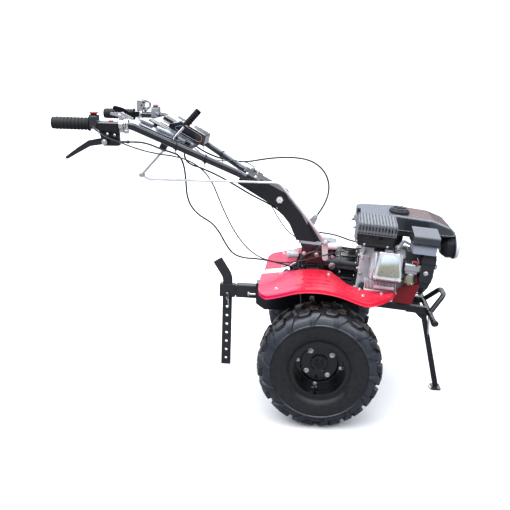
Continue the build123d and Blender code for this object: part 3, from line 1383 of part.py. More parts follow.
with BuildPart() as shift_lever:
    lever_plane = Plane(
        origin=(AXLE_X + SHIFT_FOOT[0], SHIFT_Y, SHIFT_FOOT[1]), x_dir=(0, 1, 0),
        z_dir=(cos(SHIFT_LEAN), 0, sin(SHIFT_LEAN)),
    )
    lever_length = hypot(SHIFT_TOP[1] - SHIFT_FOOT[1], SHIFT_TOP[0] - SHIFT_FOOT[0])
    with BuildSketch(lever_plane):
        Circle(5)
    extrude(amount=lever_length - 10)
    with BuildSketch(lever_plane.offset(lever_length - 78)):
        Circle(12)
    extrude(amount=78)
    fillet(shift_lever.faces().sort_by(Axis.Z)[-1].edges(), 4)
    # pivot hub with its pin through the tab, and the pin at the foot
    with BuildSketch(side(SHIFT_Y + 8)):
        with Locations(SHIFT_PIVOT):
            Circle(9)
    extrude(amount=17 - GAP)
    with BuildSketch(side(SHIFT_Y)):
        with Locations(SHIFT_PIVOT):
            Circle(4)
    extrude(amount=15)
    with BuildSketch(side(SHIFT_Y + 20)):
        with Locations(SHIFT_FOOT):
            Circle(4)
    extrude(amount=22)
    with BuildSketch(side(SHIFT_Y + 9)):
        with Locations(SHIFT_FOOT):
            Circle(8)
    extrude(amount=16)
shift_lever.part.label = "shift_lever"
export_step(shift_lever.part, "parts/shift_lever.step")

ROD_REAR_Y, ROD_FRONT_Y = SHIFT_Y + 14.5, -TOP_FLANGE[2] - 10.0
ARM_TOP = (12.0, 656.0)
SHIFT_ROD = (
    (SHIFT_FOOT[0] + 4, ROD_REAR_Y, SHIFT_FOOT[1] - 3), (-660, ROD_REAR_Y, 924), (-317, -112, 902),
    (-20, ROD_FRONT_Y, 684), (ARM_TOP[0] - 4, ROD_FRONT_Y, ARM_TOP[1] + 3),
)

with BuildPart() as shift_rod:
    with BuildLine():
        rod_path = FilletPolyline(*(Vector(AXLE_X + x, y, z) for x, y, z in SHIFT_ROD), radius=24)
    with BuildSketch(Plane(origin=rod_path @ 0, z_dir=rod_path % 0)):
        Circle(4.5)
    sweep()
    # an eye at each end
    for (x, z), y in ((SHIFT_FOOT, ROD_REAR_Y), (ARM_TOP, ROD_FRONT_Y)):
        with BuildSketch(side(y + 4.5)):
            with Locations((x, z)):
                Circle(10)
        extrude(amount=9)
    for (x, z), y in ((SHIFT_FOOT, ROD_REAR_Y), (ARM_TOP, ROD_FRONT_Y)):
        with BuildSketch(side(y + 8)):
            with Locations((x, z)):
                Circle(4 + RUNNING)
        extrude(amount=16, mode=Mode.SUBTRACT)
shift_rod.part.label = "shift_rod"
export_step(shift_rod.part, "parts/shift_rod.step")

with BuildPart() as shift_arm:
    with BuildSketch(side(-TOP_FLANGE[2] - 1)):
        with Locations(SHIFT_SPINDLE, ARM_TOP):
            Circle(12)
        make_hull()
    extrude(amount=4)
    with BuildSketch(side(-TOP_FLANGE[2] - 1)):
        with Locations(ARM_TOP):
            Circle(4)
    extrude(amount=18)
    with BuildSketch(side(-47)):
        with Locations(SHIFT_SPINDLE):
            Circle(6)
    extrude(amount=TOP_FLANGE[2] + 2 - 47)
shift_arm.part.label = "shift_arm"
export_step(shift_arm.part, "parts/shift_arm.step")

# ---------------------------------------------------------------- rear fender panels and brackets
REAR_WIDTH = FENDER_OUT - SHEET - GAP - FENDER_IN - 6

with BuildPart() as fender_rears:
    for out in (-1, 1):
        with BuildSketch(side(out * (FENDER_IN + 6))):
            with BuildLine():
                rear = FilletPolyline(*REAR_LINE, radius=60)
                offset(rear, amount=SHEET, side=Side.LEFT)
            make_face()
        extrude(amount=-out * REAR_WIDTH)
        # outer corner cut off
        with BuildSketch(plan(450)):
            with BuildLine():
                Polyline(
                    (-250, out * 300), (-180, out * 360), (-250, out * 360), close=True,
                )
            make_face()
        extrude(amount=120, mode=Mode.SUBTRACT)
fender_rears.part.label = "fender_rears"
export_step(fender_rears.part, "parts/fender_rears.step")

# angle plates from the gearbox to the undersides of the fenders
with BuildPart() as fender_brackets:
    with BuildSketch(side(-GEARCASE_HALF - GAP)):
        with BuildLine():
            Polyline((-60, 560), (-10, 560), (-10, 500), (-60, 500), close=True)
        make_face()
    extrude(amount=4)
    with BuildSketch(side(-GEARCASE_HALF - GAP)):
        with BuildLine():
            Polyline((-60, 543), (-10, 543), (-10, 547.6), (-60, 547.6), close=True)
        make_face()
    extrude(amount=110)
    mirror(about=Plane.XZ)
fender_brackets.part.label = "fender_brackets"
export_step(fender_brackets.part, "parts/fender_brackets.step")

# ---------------------------------------------------------------- free cables
for name, (diameter, _) in CABLES.items():
    points = cable_points(name)
    radii = []
    for before, here, after in zip(points, points[1:], points[2:]):
        turn = radians((here - before).get_angle(after - here))
        radii.append(0.45 * min((here - before).length, (after - here).length) / tan(turn / 2))
    with BuildPart() as cable:
        with BuildLine():
            cable_line = FilletPolyline(*points, radius=radii)
        with BuildSketch(Plane(origin=cable_line @ 0, z_dir=cable_line % 0)):
            Circle(diameter / 2)
        sweep()
    share = cable.part.volume / (pi * diameter**2 / 4 * cable_line.length)
    print(name, "length", round(cable_line.length), "volume share", round(share, 4))
    print("    radii", [round(radius) for radius in radii])
    cable.part.label = name
    export_step(cable.part, f"parts/{name}.step")
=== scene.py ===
"""Finishes a walk-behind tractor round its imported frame: paint, castings, rubber, cables and fittings.

Metres. +X forward, +Y left, +Z up, floor at zero.
"""
import math
from collections import Counter

import bpy
from mathutils import Matrix, Vector


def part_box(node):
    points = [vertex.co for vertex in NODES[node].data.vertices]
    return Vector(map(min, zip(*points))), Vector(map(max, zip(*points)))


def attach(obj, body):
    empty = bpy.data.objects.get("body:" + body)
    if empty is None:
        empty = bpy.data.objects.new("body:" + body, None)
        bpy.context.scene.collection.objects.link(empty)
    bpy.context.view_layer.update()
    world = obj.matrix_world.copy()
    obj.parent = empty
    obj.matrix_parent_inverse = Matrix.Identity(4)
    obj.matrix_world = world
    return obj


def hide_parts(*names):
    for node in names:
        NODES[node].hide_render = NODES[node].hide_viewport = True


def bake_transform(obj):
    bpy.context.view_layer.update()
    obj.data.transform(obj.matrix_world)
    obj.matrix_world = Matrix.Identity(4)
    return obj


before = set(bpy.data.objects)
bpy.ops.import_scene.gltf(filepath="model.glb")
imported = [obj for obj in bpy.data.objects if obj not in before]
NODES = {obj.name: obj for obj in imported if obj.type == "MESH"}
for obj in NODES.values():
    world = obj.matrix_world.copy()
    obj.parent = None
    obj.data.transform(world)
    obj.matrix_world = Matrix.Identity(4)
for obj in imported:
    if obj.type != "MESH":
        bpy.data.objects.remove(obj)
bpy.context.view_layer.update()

bl_info = {
    "name": "Hand Tractor Finish",
    "version": (1, 0, 0),
    "blender": (4, 5, 0),
    "location": "View3D > Sidebar > Hand Tractor",
    "description": "Finishes, tyres, cables and fittings of a walk-behind tractor",
    "category": "Object",
}

MM = 0.001


def box_middle(name):
    """Middle of a frame node's box."""
    low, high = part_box(name)
    return (low + high) / 2


AXLE = box_middle("axle_shaft")
PITCH = math.radians(6.0)     # the machine leans nose down on its stand


def from_axle(x, y, z):
    """A point given in millimetres ahead of the axle, left of the middle and above the floor."""
    return Vector((AXLE.x + x * MM, y * MM, z * MM))


def in_body(u, y, w):
    """A point given in millimetres along, left of and above the axle in the leaning body."""
    return Vector((
        AXLE.x + (u * math.cos(PITCH) + w * math.sin(PITCH)) * MM,
        y * MM,
        AXLE.z + (w * math.cos(PITCH) - u * math.sin(PITCH)) * MM,
    ))


BODY_FORWARD = Vector((math.cos(PITCH), 0, -math.sin(PITCH)))
BODY_UP = Vector((math.sin(PITCH), 0, math.cos(PITCH)))
RIGHT, LEFT, UP, FORWARD = Vector((0, -1, 0)), Vector((0, 1, 0)), Vector((0, 0, 1)), Vector((1, 0, 0))
SIDES = (("right", -1), ("left", 1))


def held(share):
    """A share held between 0 and 1."""
    return min(1.0, max(0.0, share))


def eased(share):
    """A share that starts and ends gently."""
    return share * share * (3 - 2 * share)


# ---- settings
def colour_property(title, about, value):
    """A colour a user may change."""
    return bpy.props.FloatVectorProperty(
        name=title, description=about, default=value, subtype="COLOR", size=3, min=0, max=1,
    )


def length_property(title, about, value):
    """A length a user may change."""
    return bpy.props.FloatProperty(name=title, description=about, default=value, unit="LENGTH", min=0)


class TractorPaint(bpy.types.PropertyGroup):
    """Colours of the painted and moulded pieces."""

    sheet_red: colour_property("Sheet red", "Paint of the fenders and the fan shroud", (0.6, 0.01, 0.042))
    frame_black: colour_property("Frame black", "Paint of the castings and brackets", (0.009, 0.009, 0.011))
    deck_silver: colour_property("Deck silver", "Paint of the plate between the tubes", (0.34, 0.375, 0.45))
    moulding: colour_property("Moulding", "Colour of the plastic mouldings", (0.02, 0.0215, 0.025))
    rubber: colour_property("Rubber", "Colour of the tyres", (0.009, 0.0095, 0.0108))
    button_red: colour_property("Button red", "Colour of the switch buttons", (0.65, 0.03, 0.03))


class TractorTyre(bpy.types.PropertyGroup):
    """Size of the field tyres' tread."""

    lugs: bpy.props.IntProperty(name="Lugs", description="Lugs on each shoulder", default=14, min=8, max=30)
    lug_height: length_property("Lug height", "Height of a lug over the carcass", 0.0134)


class TractorStage(bpy.types.PropertyGroup):
    """Light, floor and camera."""

    floor_colour: colour_property("Floor", "Colour of the floor", (0.76, 0.75, 0.735))
    backdrop: colour_property("Backdrop", "Colour seen past the floor", (1.0, 1.0, 1.0))
    key_power: bpy.props.FloatProperty(
        name="Key light", description="Power of the key", default=24.0, unit="POWER", min=0,
    )
    sky: bpy.props.FloatProperty(name="Sky", description="Strength of the even light", default=1.0, min=0)
    lens: bpy.props.FloatProperty(name="Lens", description="Focal length", default=45.9, unit="CAMERA")


class TractorStep:
    """What the operators share."""

    bl_options = {"REGISTER", "UNDO"}


# ---- shader building
class Surface:
    """One procedural material and its node tree."""

    def __init__(self, name):
        self.material = bpy.data.materials.new(name)
        self.material.use_nodes = True
        self.tree = self.material.node_tree
        self.shader = self.tree.nodes["Principled BSDF"]
        self.place = self.node("ShaderNodeTexCoord").outputs["Object"]

    def node(self, kind, **settings):
        """A new node with its properties set."""
        made = self.tree.nodes.new(kind)
        for key, value in settings.items():
            setattr(made, key, value)
        return made

    def feed(self, socket, value):
        """Links or sets an input."""
        if isinstance(value, bpy.types.NodeSocket):
            self.tree.links.new(value, socket)
        elif isinstance(value, tuple) and len(value) == 3 and socket.type == "RGBA":
            socket.default_value = (*value, 1)
        else:
            socket.default_value = value

    def set(self, **values):
        """Sets or links inputs of the main shader, by name with spaces as underscores."""
        for key, value in values.items():
            self.feed(self.shader.inputs[key.replace("_", " ")], value)

    def stretched(self, scale, turn=(0, 0, 0)):
        """Object coordinates, stretched and turned."""
        mapping = self.node("ShaderNodeMapping")
        self.feed(mapping.inputs["Vector"], self.place)
        mapping.inputs["Scale"].default_value = scale
        mapping.inputs["Rotation"].default_value = turn
        return mapping.outputs["Vector"]

    def noise(self, scale, detail=4.0, rough=0.55, vector=None):
        """Noise from 0 to 1."""
        made = self.node("ShaderNodeTexNoise")
        self.feed(made.inputs["Vector"], vector or self.place)
        made.inputs["Scale"].default_value = scale
        made.inputs["Detail"].default_value = detail
        made.inputs["Roughness"].default_value = rough
        return made.outputs["Fac"]

    def cells(self, scale):
        """Distance in a cell pattern."""
        made = self.node("ShaderNodeTexVoronoi")
        self.feed(made.inputs["Vector"], self.place)
        made.inputs["Scale"].default_value = scale
        return made.outputs["Distance"]

    def ramp(self, value, low, high, bottom=0.0, top=1.0):
        """Maps low..high to bottom..top, held at both ends."""
        made = self.node("ShaderNodeMapRange")
        self.feed(made.inputs["Value"], value)
        for key, number in (("From Min", low), ("From Max", high), ("To Min", bottom), ("To Max", top)):
            made.inputs[key].default_value = number
        return made.outputs["Result"]

    def maths(self, action, *values):
        """One step of arithmetic."""
        made = self.node("ShaderNodeMath", operation=action)
        for socket, value in zip(made.inputs, values):
            self.feed(socket, value)
        return made.outputs["Value"]

    def times(self, a, b):
        """Two values multiplied."""
        return self.maths("MULTIPLY", a, b)

    def plus(self, a, b):
        """Two values added."""
        return self.maths("ADD", a, b)

    def vector_maths(self, action, output, *values):
        """One step of arithmetic on vectors."""
        made = self.node("ShaderNodeVectorMath", operation=action)
        for socket, value in zip(made.inputs, values):
            self.feed(socket, value)
        return made.outputs[output]

    def blend(self, share, under, over):
        """Mixes two colours."""
        made = self.node("ShaderNodeMix", data_type="RGBA")
        for key, value in ((0, share), (6, under), (7, over)):
            self.feed(made.inputs[key], value)
        return made.outputs[2]

    def axis(self, letter, vector=None):
        """One coordinate of a point."""
        made = self.node("ShaderNodeSeparateXYZ")
        self.feed(made.inputs[0], vector or self.place)
        return made.outputs[letter]

    def facing(self, letter):
        """How far the surface faces along an axis, from -1 to 1."""
        made = self.node("ShaderNodeNewGeometry")
        return self.axis(letter, made.outputs["Normal"])

    def between(self, value, low, high, soft=0.0004):
        """1 inside a range, 0 outside it."""
        rising = self.ramp(value, low - soft, low + soft)
        return self.times(rising, self.ramp(value, high - soft, high + soft, 1, 0))

    def edges(self, radius=0.0012):
        """1 along sharp edges, with a rounded normal to go with it."""
        bevel = self.node("ShaderNodeBevel", samples=4)
        bevel.inputs["Radius"].default_value = radius
        self.rounded = bevel.outputs["Normal"]
        plain = self.node("ShaderNodeNewGeometry").outputs["Normal"]
        return self.ramp(self.vector_maths("DOT_PRODUCT", "Value", self.rounded, plain), 0.995, 0.86)

    def bump(self, *layers):
        """Raises the surface by layers of (height, distance in metres), over its rounded edges."""
        normal = self.rounded
        for height, distance in layers:
            made = self.node("ShaderNodeBump")
            made.inputs["Distance"].default_value = distance
            self.feed(made.inputs["Height"], height)
            self.feed(made.inputs["Normal"], normal)
            normal = made.outputs["Normal"]
        self.feed(self.shader.inputs["Normal"], normal)


GREY_DUST = (0.36, 0.33, 0.29)      # what settles on paint
PALE_DUST = (0.3, 0.29, 0.27)       # what settles on plastic
GRIME_AND_SHADE = (0.045, 0.038, 0.03)        # oily dirt and painted shade in the corners of a casting


def painted(name, colour, rough=0.3, coat=0.35, worn=(0.25, 0.24, 0.23), wear=0.5, dust=0.3, peel=0.00006,
            round_over=0.0012):
    """Sprayed paint: orange peel, chipped edges, dust where it settles."""
    made = Surface(name)
    chips = made.ramp(made.noise(160, 6, 0.7), 0.62 - wear * 0.2, 0.68)
    worn_edge = made.times(made.edges(round_over), chips)
    tone = made.node("ShaderNodeHueSaturation")
    made.feed(tone.inputs["Color"], colour)
    made.feed(tone.inputs["Value"], made.ramp(made.noise(7, 3), 0.3, 0.7, 0.82, 1.14))
    base = made.blend(worn_edge, tone.outputs["Color"], worn)
    upward = made.ramp(made.facing("Z"), 0.35, 0.95, 0.0, dust)
    settled = made.times(upward, made.ramp(made.noise(38, 6, 0.68), 0.38, 0.72))
    scratches = made.noise(70, 2, 0.5, made.stretched((1, 9, 14), (0.3, 0.5, 0.2)))
    gloss = made.plus(made.ramp(scratches, 0.35, 0.7, rough - 0.06, rough + 0.1), made.times(settled, 0.8))
    made.set(Base_Color=made.blend(settled, base, GREY_DUST))
    made.set(Roughness=made.plus(gloss, made.times(worn_edge, 0.2)), Coat_Weight=coat, Coat_Roughness=0.12)
    made.bump((made.noise(420, 2, 0.5), peel), (made.times(worn_edge, -1.0), 0.0001))
    return made


def casting(name, colour, rough=0.42, metal=0.85, grain=0.00022, grime_and_shade=0.5):
    """Die-cast metal as it leaves the mould, with oily dirt and painted shade in its corners."""
    made = Surface(name)
    bright = made.edges(0.0015)
    # ambient occlusion finds the corners, which get painted shade mixed with oily dirt
    shade = made.node("ShaderNodeAmbientOcclusion", samples=8)
    shade.inputs["Distance"].default_value = 0.014
    corners = made.ramp(shade.outputs["AO"], 0.9, 0.35, 0, grime_and_shade)
    dirt_and_shade = made.times(corners, made.ramp(made.noise(60, 5), 0.3, 0.6))
    darker, paler = tuple(0.78 * c for c in colour), tuple(min(1, 1.25 * c) for c in colour)
    mottled = made.blend(made.ramp(made.noise(26, 5, 0.65), 0.35, 0.7), colour, darker)
    polished = made.blend(made.times(bright, 0.5), mottled, paler)
    rougher = made.ramp(made.noise(110, 4), 0.3, 0.7, rough - 0.08, rough + 0.12)
    made.set(Base_Color=made.blend(dirt_and_shade, polished, GRIME_AND_SHADE), Metallic=metal)
    made.set(Roughness=made.plus(rougher, made.times(dirt_and_shade, 0.3)))
    made.bump((made.noise(620, 5, 0.7), grain), (made.noise(90, 3), grain))
    return made


def plated(name, colour, rough=0.27, tint=(0.62, 0.55, 0.38), brushed=None, metal=0.95):
    """Zinc or chrome plate with handling marks."""
    made = Surface(name)
    made.edges(0.0008)
    base = made.blend(made.ramp(made.noise(45, 5, 0.6), 0.42, 0.72, 0, 0.45), colour, tint)
    base = made.blend(made.ramp(made.cells(420), 0.09, 0.03, 0, 0.5), base, (0.2, 0.19, 0.18))
    grain = made.noise(200, 3, 0.6, made.stretched(brushed) if brushed else None)
    made.set(Base_Color=base, Metallic=metal)
    made.set(Roughness=made.ramp(grain, 0.3, 0.7, rough - 0.07, rough + 0.13))
    made.bump((grain, 0.00004))
    return made


def moulded(name, colour, rough=0.38, grain=0.00008, dust=0.3, coat=0.0):
    """Moulded plastic or rubber with a fine grain, scuffs and settled dust."""
    made = Surface(name)
    scuffed = made.times(made.edges(), made.ramp(made.noise(120, 5), 0.5, 0.66))
    base = made.blend(made.ramp(made.noise(14, 3), 0.3, 0.7), colour, tuple(1.35 * c for c in colour))
    base = made.blend(made.times(scuffed, 0.5), base, (0.14, 0.14, 0.145))
    upward = made.ramp(made.facing("Z"), 0.3, 0.95, 0.02, dust)
    settled = made.times(upward, made.ramp(made.noise(52, 6, 0.7), 0.36, 0.74))
    marks = made.noise(60, 2, 0.5, made.stretched((12, 1, 9), (0.2, 0.9, 0.4)))
    rougher = made.plus(made.ramp(marks, 0.35, 0.7, rough - 0.05, rough + 0.14), settled)
    made.set(Base_Color=made.blend(settled, base, PALE_DUST), Roughness=rougher)
    made.set(Coat_Weight=coat, Coat_Roughness=0.1)
    made.bump((made.noise(1500, 2), grain), (made.noise(30, 2), 0.0002))
    return made


def band(made, mask, colour, rough=None):
    """Lays another colour over a surface where a mask is 1."""
    socket = made.shader.inputs["Base Color"]
    made.feed(socket, made.blend(mask, socket.links[0].from_socket, colour))
    if rough is not None:
        socket = made.shader.inputs["Roughness"]
        before = made.times(socket.links[0].from_socket, made.maths("SUBTRACT", 1.0, mask))
        made.feed(socket, made.plus(before, made.times(mask, rough)))


def tyre_rubber(name, colour):
    """Tread rubber with field dust, dull on the lugs, with a painted bluish sheen on the sidewall."""
    made = Surface(name)
    offset = made.vector_maths("SUBTRACT", "Vector", made.place, (AXLE.x, 0.0, AXLE.z))
    flat = made.vector_maths("MULTIPLY", "Vector", offset, (1.0, 0.0, 1.0))
    radius = made.vector_maths("LENGTH", "Value", flat)
    made.edges(0.0012)
    base = made.blend(made.ramp(made.noise(9, 4), 0.3, 0.7), colour, tuple(1.7 * c for c in colour))
    # a paler bluish band round the shoulder is a painted sheen
    on_shoulder = made.between(radius, 0.186, 0.228, 0.004)
    painted_sheen = made.times(on_shoulder, made.ramp(made.noise(30, 4), 0.3, 0.7, 0.6, 1.0))
    base = made.blend(painted_sheen, base, (0.034, 0.039, 0.05))
    trodden = made.ramp(radius, 0.231, 0.239)
    dust = made.ramp(made.noise(55, 7, 0.72), 0.42, 0.72, 0.0, 0.62)
    dust = made.times(dust, made.plus(made.times(trodden, 1.1), 0.16))
    base = made.blend(dust, base, (0.17, 0.155, 0.135))
    base = made.blend(made.ramp(made.cells(260), 0.12, 0.05, 0, 0.35), base, (0.2, 0.18, 0.155))
    made.set(Base_Color=base, Roughness=made.ramp(made.noise(40, 5), 0.3, 0.7, 0.24, 0.42))
    made.set(Specular_IOR_Level=0.45, Coat_Weight=0.3, Coat_Roughness=0.16)
    ripples = made.maths("SINE", made.times(radius, 900.0))
    rings = made.times(ripples, made.between(radius, 0.122, 0.178, 0.002))
    made.bump((made.noise(700, 4, 0.65), 0.00018), (rings, 0.00005), (made.noise(60, 4), 0.0004))
    return made


def body_rise(point):
    """Height of a point over the leaning body's floor line, as the surfaces below measure it."""
    return point.z + math.tan(PITCH) * point.x


def over_body(made):
    """The same height, over a surface."""
    return made.plus(made.times(made.axis("X"), math.tan(PITCH)), made.axis("Z"))


def sheet_paint(red):
    """Fender paint, darker and bluer where the sheet turns down at the rear."""
    made = painted("fender_red", red, 0.28, 0.16, worn=(0.5, 0.3, 0.3), wear=0.1, dust=0.08)
    edge = in_body(-132, 0, 280).x
    ragged = made.plus(made.axis("X"), made.ramp(made.noise(60, 5), 0.3, 0.7, -0.016, 0.016))
    band(made, made.ramp(ragged, edge + 0.012, edge - 0.004), (0.5, 0.008, 0.066))
    made.set(Specular_IOR_Level=0.2)
    return made


def tank_paint():
    """Tank paint: a painted pale sky reflection along its rounded shoulder, a painted grey sky reflection on
    top, and a painted brown reflection in flecks at the front.
    """
    made = painted("tank_gloss", (0.045, 0.048, 0.056), 0.14, 0.6, wear=0.0, dust=0.18, round_over=0.015)
    # a painted pale sky reflection along the rounded shoulder
    shoulder = made.vector_maths("DOT_PRODUCT", "Value", made.rounded, (0, 0, 1))
    beside = made.ramp(made.facing("Z"), 0.5, 0.3)
    band(made, made.times(beside, made.ramp(shoulder, 0.08, 0.3)), (0.46, 0.49, 0.55))
    # a painted grey sky reflection on the upward faces
    top = made.ramp(made.facing("Z"), 0.6, 0.85)
    band(made, top, (0.17, 0.182, 0.205))
    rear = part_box("fuel_tank")[0].x
    # brown flecks on the front of the top are a painted reflection
    reflection_flecks = made.ramp(made.noise(330, 5, 0.75), 0.4, 0.6, 0.15, 1.0)
    ahead = made.times(top, made.ramp(made.axis("X"), rear + 0.15, rear + 0.2))
    band(made, made.times(ahead, made.times(reflection_flecks, 0.95)), (0.2, 0.072, 0.03))
    return made


def column_paint(black):
    """Column paint, with the bare machined foot and the bright front rib left in it."""
    made = painted("column_paint", black, 0.24, 0.5)
    foot = body_rise(in_body(0, 0, 408.5))
    band(made, made.ramp(over_body(made), foot + 0.0006, foot - 0.0006), (0.38, 0.39, 0.41), 0.3)
    slope = 0.62
    rib = from_axle(-40, 0, 708)
    start = rib.x + slope * rib.z
    ahead = made.ramp(made.plus(made.axis("X"), made.times(made.axis("Z"), slope)), start, start + 0.003)
    band(made, made.times(ahead, made.ramp(made.axis("Z"), 0.65, 0.653)), (0.3, 0.31, 0.33), 0.3)
    return made


def thumb_plate():
    """Plate of the thumb lever, with its dark paddle."""
    made = plated("thumb_plate", (0.72, 0.73, 0.74))
    paddle = from_axle(-822, 0, 0).x
    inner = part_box("thumb_lever")[0].y
    behind = made.between(made.axis("X"), paddle - 0.3, paddle)
    across = made.between(made.axis("Y"), inner - 0.01, inner + 0.012)
    band(made, made.times(behind, across), (0.03, 0.031, 0.034), 0.4)
    return made


def console_moulding():
    """Console plastic: a painted pale sky reflection on top and a warmer end at the front."""
    made = moulded("console_moulding", (0.012, 0.014, 0.02), 0.16, 0.00004, 0.1, 0.8)
    # a painted pale sky reflection on the top faces
    band(made, made.ramp(made.facing("Z"), 0.55, 0.7), (0.6, 0.65, 0.75), 0.24)
    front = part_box("console_box")[1].x
    band(made, made.ramp(made.axis("X"), front - 0.042, front - 0.040), (0.06, 0.036, 0.03), 0.3)
    return made


def cleaner_moulding():
    """Air cleaner plastic, paler under the seam of its lid."""
    made = moulded("cleaner_moulding", (0.036, 0.039, 0.046), 0.24, dust=0.1, coat=0.5)
    seam = body_rise(in_body(335, 0, 497))
    band(made, made.between(over_body(made), seam - 0.2, seam), (0.3, 0.32, 0.37), 0.3)
    return made


def tube_paint():
    """Gloss paint of the handle tubes, with a painted highlight along their tops."""
    made = painted("tube_paint", (0.008, 0.009, 0.013), 0.1, 1.0, wear=0.2, dust=0.0)
    # a painted highlight along the tops of the tubes
    band(made, made.ramp(made.facing("Z"), 0.72, 0.9), (0.24, 0.27, 0.32))
    return made


def carburettor_alloy():
    """Carburettor metal, yellowed on the bowl."""
    made = casting("carburettor_alloy", (0.6, 0.6, 0.6), 0.34)
    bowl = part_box("carburettor")[0].z
    band(made, made.between(made.axis("Z"), bowl - 0.01, bowl + 0.036), (0.42, 0.45, 0.3), 0.3)
    return made


def lever_plate():
    """Plate of the shift lever, black over its knob."""
    made = plated("lever_plate", (0.72, 0.73, 0.75), 0.2, brushed=(20, 20, 1))
    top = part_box("shift_lever")[1].z
    band(made, made.ramp(made.axis("Z"), top - 0.062, top - 0.060), (0.02, 0.02, 0.02))
    return made


def small_finishes(paint):
    """Finishes that only the added pieces carry."""
    painted("guard_paint", (0.13, 0.137, 0.15), 0.3, 0.3, worn=(0.6, 0.6, 0.6), wear=1.4, dust=0.2)
    painted("axle_end", (0.012, 0.012, 0.012), 0.3, 0.3, worn=(0.3, 0.3, 0.3), wear=0.8, dust=0.0)
    silver = tuple(paint.deck_silver)
    deck = painted("deck_paint", silver, 0.3, 0.3, worn=(0.2, 0.2, 0.21), wear=0.25, dust=0.22)
    deck.set(Metallic=0.35)
    plated("rod_plate", (0.78, 0.79, 0.8), 0.24, (0.66, 0.62, 0.52), (1, 30, 30), 0.55)
    moulded("tyre_dark", (0.008, 0.008, 0.008), 0.5)
    moulded("valve_rubber", (0.05, 0.052, 0.056), 0.55)
    moulded("button_red", tuple(paint.button_red), 0.35, 0.00004, 0.06, 0.3)
    moulded("wing_moulding", (0.22, 0.24, 0.28), 0.16, 0.00003, 0.1, 0.8)
    moulded("gasket_red", (0.42, 0.05, 0.055), 0.6)
    sheen = casting("cover_plate_metal", (0.34, 0.335, 0.265), 0.3, 0.3, 0.00004, 0.12)
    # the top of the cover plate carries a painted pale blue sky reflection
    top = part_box("valve_cover")[1].z
    band(sheen, sheen.ramp(sheen.axis("Z"), top - 0.05, top - 0.032), (0.5, 0.56, 0.6))
    lens = moulded("lens_glass", (0.78, 0.8, 0.82), 0.08, 0.00002, 0.04, 1.0)
    lens.set(Transmission_Weight=0.1, IOR=1.49)


def node_finishes(paint):
    """Finishes of the frame's own nodes, each with the nodes that carry it."""
    black, plastic = tuple(paint.frame_black), tuple(paint.moulding)
    return {
        column_paint(black): ("column",),
        painted("frame_paint", black, 0.24, 0.5): (
            "handlebar_bracket", "stand_bracket", "lamp_bracket", "tube_clamps", "clutch_lever_bracket",
            "fender_brackets", "engine_rails", "bumper_bar", "bumper_hoop", "stand_leg", "hitch_bracket",
        ),
        tube_paint(): ("handlebar_left", "handlebar_right"),
        painted("case_paint", (0.013, 0.012, 0.014), 0.14, 0.9, dust=0.12): (
            "gearbox_housing", "clutch_housing",
        ),
        painted("stake_paint", (0.03, 0.031, 0.033), 0.42, 0.1, wear=0.7, dust=0.2): (
            "drawbar", "stake_sleeve", "depth_stake", "stake_pin",
        ),
        painted("rim_paint", (0.004, 0.004, 0.0045), 0.14, 0.7, wear=0.2, dust=0.0): (
            "wheel_rim_left", "wheel_rim_right", "wheel_hubs",
        ),
        sheet_paint(tuple(paint.sheet_red)): ("fender_left", "fender_right", "fender_rears"),
        painted("shroud_red", (0.3, 0.008, 0.014), 0.3, 0.2, worn=(0.4, 0.2, 0.2), wear=0.2, dust=0.1): (
            "fan_shroud",
        ),
        painted("deck_black", (0.010, 0.011, 0.015), 0.14, 0.9, wear=0.2, dust=0.1): ("cross_plate",),
        tank_paint(): ("fuel_tank",),
        casting("block_alloy", (0.8, 0.81, 0.83), 0.34, 0.25): ("engine_block", "cylinder_head"),
        casting("cover_alloy", (0.66, 0.665, 0.67), 0.3, 0.9, 0.00012, 0.3): ("valve_cover",),
        plated("zinc_plate", (0.72, 0.73, 0.74)): ("axle_shaft", "pivot_bolt", "throttle_lever"),
        thumb_plate(): ("thumb_lever",),
        plated("arm_plate", (0.74, 0.75, 0.77), 0.36, metal=0.15): ("shift_arm",),
        painted("heat_paint", (0.019, 0.0195, 0.021), 0.5, 0, worn=(0.3, 0.24, 0.2), wear=0.8, peel=0.0002): (
            "muffler", "muffler_guard",
        ),
        cleaner_moulding(): ("air_cleaner",),
        moulded("mouldings", plastic, 0.36): ("air_duct", "recoil_starter", "fuel_cap"),
        moulded("lever_moulding", (0.015, 0.015, 0.016), 0.45): ("clutch_lever",),
        moulded("grip_ribbed", (0.012, 0.012, 0.013), 0.62, 0.0003, 0.18): ("grips",),
        console_moulding(): ("console_box",),
        carburettor_alloy(): ("carburettor",),
        moulded("lamp_housing", plastic, 0.34): ("headlamp",),
        moulded("stop_switch_moulding", (0.03, 0.03, 0.034), 0.4): ("stop_switch",),
        moulded("lamp_switch_moulding", (0.2, 0.205, 0.215), 0.42): ("lamp_switch",),
        lever_plate(): ("shift_lever",),
    }


def dress(piece, material):
    """Gives a piece its one material."""
    piece.data.materials.clear()
    piece.data.materials.append(material)


# ---- modelling helpers
def deselect():
    """Nothing selected, nothing in edit mode."""
    if bpy.context.mode != "OBJECT":
        bpy.ops.object.mode_set(mode="OBJECT")
    bpy.ops.object.select_all(action="DESELECT")


def only(piece):
    """Selects one piece alone."""
    deselect()
    piece.select_set(True)
    bpy.context.view_layer.objects.active = piece


def bake_place(piece):
    """Puts a piece's place, turn and size into its mesh."""
    only(piece)
    bpy.ops.object.transform_apply(location=True, rotation=True, scale=True)


def edit(piece):
    """One piece alone in edit mode, all of it selected."""
    only(piece)
    bpy.ops.object.mode_set(mode="EDIT")
    bpy.ops.mesh.select_all(action="SELECT")


def unselect_mesh(piece):
    """Nothing of the mesh selected, so that its faces or edges can be picked in code."""
    edit(piece)
    bpy.ops.mesh.select_all(action="DESELECT")
    bpy.ops.object.mode_set(mode="OBJECT")


